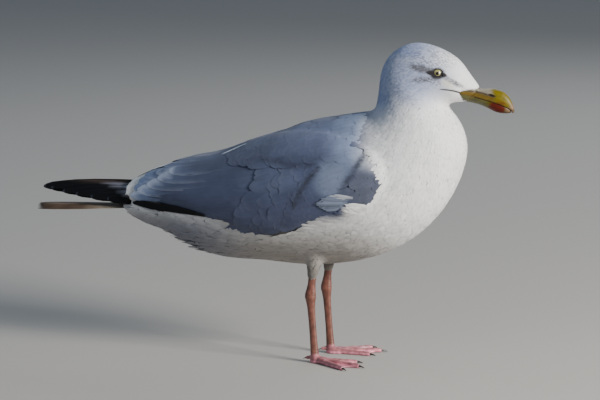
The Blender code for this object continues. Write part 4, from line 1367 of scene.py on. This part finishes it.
def bill_colours(at, lower):
    """The colour of the upper or the lower blade at each point."""
    x, y, z = at.T
    over = z - np.interp(x, *MOUTH_LINE)
    if lower:
        colours = blend(np.tile(BILL_OLIVE, (len(at), 1)), BILL_OCHRE, 0.6 * ramp(over, -2.0, -0.6))
        colours = blend(colours, BILL_YELLOW * 0.7, ramp(x, 232, 240) * ramp(x, 252, 246))
        colours = blend(colours, BILL_RED, 1.7 * near(at, 246.5, 279.5, 11, 9.5))
        colours = blend(colours, BILL_HORN, ramp(x, 254, 258))
        colours = blend(colours, BILL_EDGE, 0.6 * ramp(z, 277.0, 274.6) * ramp(x, 253, 258))
    else:
        colours = blend(np.tile(BILL_OCHRE, (len(at), 1)), BILL_TAN, ramp(over, 4.5, 8.0))
        colours = blend(colours, BILL_YELLOW, ramp(x + 0.4 * over, 241, 249))
        colours = blend(colours, BILL_RED * 1.2, 0.6 * near(at, 250, 284.5, 8, 3.5))
        colours = blend(colours, BILL_HORN, ramp(x - 0.5 * over, 256, 261))
        colours = blend(colours, BILL_EDGE, 0.5 * ramp(z, 279, 275.5))
        colours = blend(colours, BILL_OLIVE, ramp(over, -0.2, -0.9) * ramp(x, 222, 216))
        # Painted shade along the groove over the nostril and in the nostril itself.
        groove = np.exp(-(((z - np.interp(x, *GROOVE_LINE)) / 0.85) ** 2)) * ramp(x, 246, 243)
        colours = blend(colours, BILL_EDGE, 0.95 * groove)
        colours = blend(colours, BILL_EDGE, 0.95 * near(at, 240.8, 293.2, 6, 1.9, -14))
    return blend(colours, BILL_EDGE, 0.35 * np.exp(-((over / 0.45) ** 2)))


bill_solids = merged_copy(["bill_upper", "bill_lower"], "bill_solids")
bill_surface = surface_of(bill_solids.data)


def horn_or_face(x, z, side):
    """The place seen from the side at x and z, its outward normal, and whether it is on the bill."""
    outside, inwards = Vector((x, side * FROM_ASIDE, z)), Vector((0, -side, 0))
    face, bill = bed_surface.ray_cast(outside, inwards), bill_surface.ray_cast(outside, inwards)
    if bill[0] is None and face[0] is None:
        bill = bill_surface.find_nearest(Vector((x, side * 8, z)))
    on_bill = bill[0] is not None and (face[0] is None or abs(bill[0].y) > abs(face[0].y) - 0.4)
    hit, normal = (bill if on_bill else face)[:2]
    return hit, (normal + Vector((0, side, 0))).normalized(), on_bill


def bill_root(side):
    """The thin edge of horn that reaches back over the side of the face, in a point."""
    rings, low = [], ROOT_REAR[1][0]
    for z in np.linspace(low, ROOT_REAR[1][-1], ROOT_ROWS):
        rear = np.interp(z, ROOT_REAR[1], ROOT_REAR[0])
        front = max(ROOT_FRONT_X + (z - low) * ROOT_LEAN, rear + 0.8)
        top, bottom = [], []
        for x in np.linspace(rear, front, ROOT_COLUMNS):
            hit, normal, on_bill = horn_or_face(x, z, side)
            raised = 0.3 if on_bill else ROOT_LIFT * (0.35 + 0.65 * min(1.0, (x - rear) / 2.0))
            top.append(hit + normal * raised)
            bottom.append(hit + normal * ROOT_SINK)
        rings.append(top + bottom[::-1])
    return tube(rings, "bill_root")


def gape_line(side):
    """The dark bare fold that runs back from the corner of the mouth."""
    rings = []
    for x, z, radius in GAPE:
        outside, inwards = Vector((x, side * FROM_ASIDE, z)), Vector((0, -side, 0))
        hit, normal, _, _ = bed_surface.ray_cast(outside, inwards)
        up = Vector((0.3, 0, 1)).cross(normal).cross(normal).normalized()
        rings.append([hit + normal * (0.1 + radius * math.cos(turn)) + up * radius * math.sin(turn)
                      for turn in np.linspace(0, 2 * math.pi, 8, endpoint=False)])
    made = tube(rings, "gape")
    store_tint(made.data, np.tile(BILL_EDGE, (len(made.data.vertices), 1)))
    return made


for node, lower in (("bill_upper", False), ("bill_lower", True)):
    blade = merged_copy([node], node + "_horn")
    if not lower:
        joined(blade, [bill_root(side) for side, _ in SIDES])
    remeshed(blade, BILL_VOXEL, 8, 0.5)
    set_points(blade.data, points_of(blade.data) + normals_of(blade.data) * BILL_GROWTH)
    store_tint(blade.data, bill_colours(points_of(blade.data), lower))
    if lower:
        joined(blade, [gape_line(side) for side, _ in SIDES])
    show(blade, bill_finish, "bill_horn", node)

# %% [markdown]
# ## Eyes
#
# A gull's eye has a black pupil in a pale yellow iris, behind a clear bulging cornea. It is an
# eyeball whose front is drawn out a little, coloured in rings round its own axis and polished.

# %% Eyes
IRIS_RADIUS, PUPIL_RADIUS, CORNEA_RADIUS, CORNEA_RISE = 4.75, 1.85, 5.0, 0.45
IRIS = np.array((0.33, 0.295, 0.115))

eye_finish = finish("eye_finish", 0.12, (0.8, 1.15), 900.0, coat=0.35)
for side, word in SIDES:
    low, high = (np.array(c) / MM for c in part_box(f"eye_{word}"))
    centre, axis, _, _ = eye_frame(side)
    bpy.ops.object.select_all(action="DESELECT")
    bpy.ops.mesh.primitive_uv_sphere_add(segments=64, ring_count=80, radius=(high - low).max() / 2 * MM,
                                         location=Vector(centre) * MM,
                                         rotation=Vector(axis).to_track_quat("Z", "Y").to_euler())
    eye = bpy.context.object
    eye.name = f"eyeball_{word}"
    bpy.ops.object.transform_apply(location=True, rotation=True, scale=True)
    at = points_of(eye.data)
    ahead = (at - centre) @ axis
    off_axis = np.linalg.norm(at - centre - ahead[:, None] * axis, axis=1)
    bulge = (1 - ramp(off_axis, 0, CORNEA_RADIUS)) * (ahead > 0) * CORNEA_RISE
    set_points(eye.data, at + axis * bulge[:, None])
    colours = np.tile(IRIS, (len(at), 1))
    colours = blend(colours, IRIS * 0.5, ramp(off_axis, IRIS_RADIUS - 1.1, IRIS_RADIUS - 0.1))
    colours = blend(colours, IRIS * 0.75, ramp(off_axis, PUPIL_RADIUS + 0.7, PUPIL_RADIUS + 0.2))
    colours = blend(colours, LID_RIM, ramp(off_axis, IRIS_RADIUS - 0.1, IRIS_RADIUS + 0.2))
    colours = blend(colours, LID_RIM * 0.4, ramp(off_axis, PUPIL_RADIUS + 0.12, PUPIL_RADIUS - 0.12))
    store_tint(eye.data, colours)
    bpy.ops.object.shade_smooth()
    show(eye, eye_finish, "eye", f"eye_{word}")

# %% [markdown]
# ## Claws
#
# The claws' solids have the right curve, so a finer copy of each takes its place, in black horn
# that pales towards the root.

# %% Claws
CLAW_BLACK, CLAW_PALE = np.array((0.014, 0.011, 0.010)), np.array((0.07, 0.05, 0.04))

claw_finish = finish("claw_finish", 0.3, (0.7, 1.3), 700.0, coat=0.3)
for side, word in SIDES:
    for toe in ("outer", "middle", "inner", "hind"):
        claw = remeshed(merged_copy([f"claw_{toe}_{word}"], f"claw_{toe}_{word}_horn"), 0.2 * MM, 3, 0.4)
        tall = ramp(points_of(claw.data)[:, 2], 1.0, 3.2)
        store_tint(claw.data, blend(np.tile(CLAW_BLACK, (len(tall), 1)), CLAW_PALE, tall))
        show(claw, claw_finish, "claw_horn", f"claw_{toe}_{word}")

# %% [markdown]
# ## Clearing up
#
# The form and the other copies were only helpers, so they are removed.

# %% Clearing up
for helper in (form, bed, wing_copy, primaries_copy, bill_solids):
    bpy.data.objects.remove(helper)
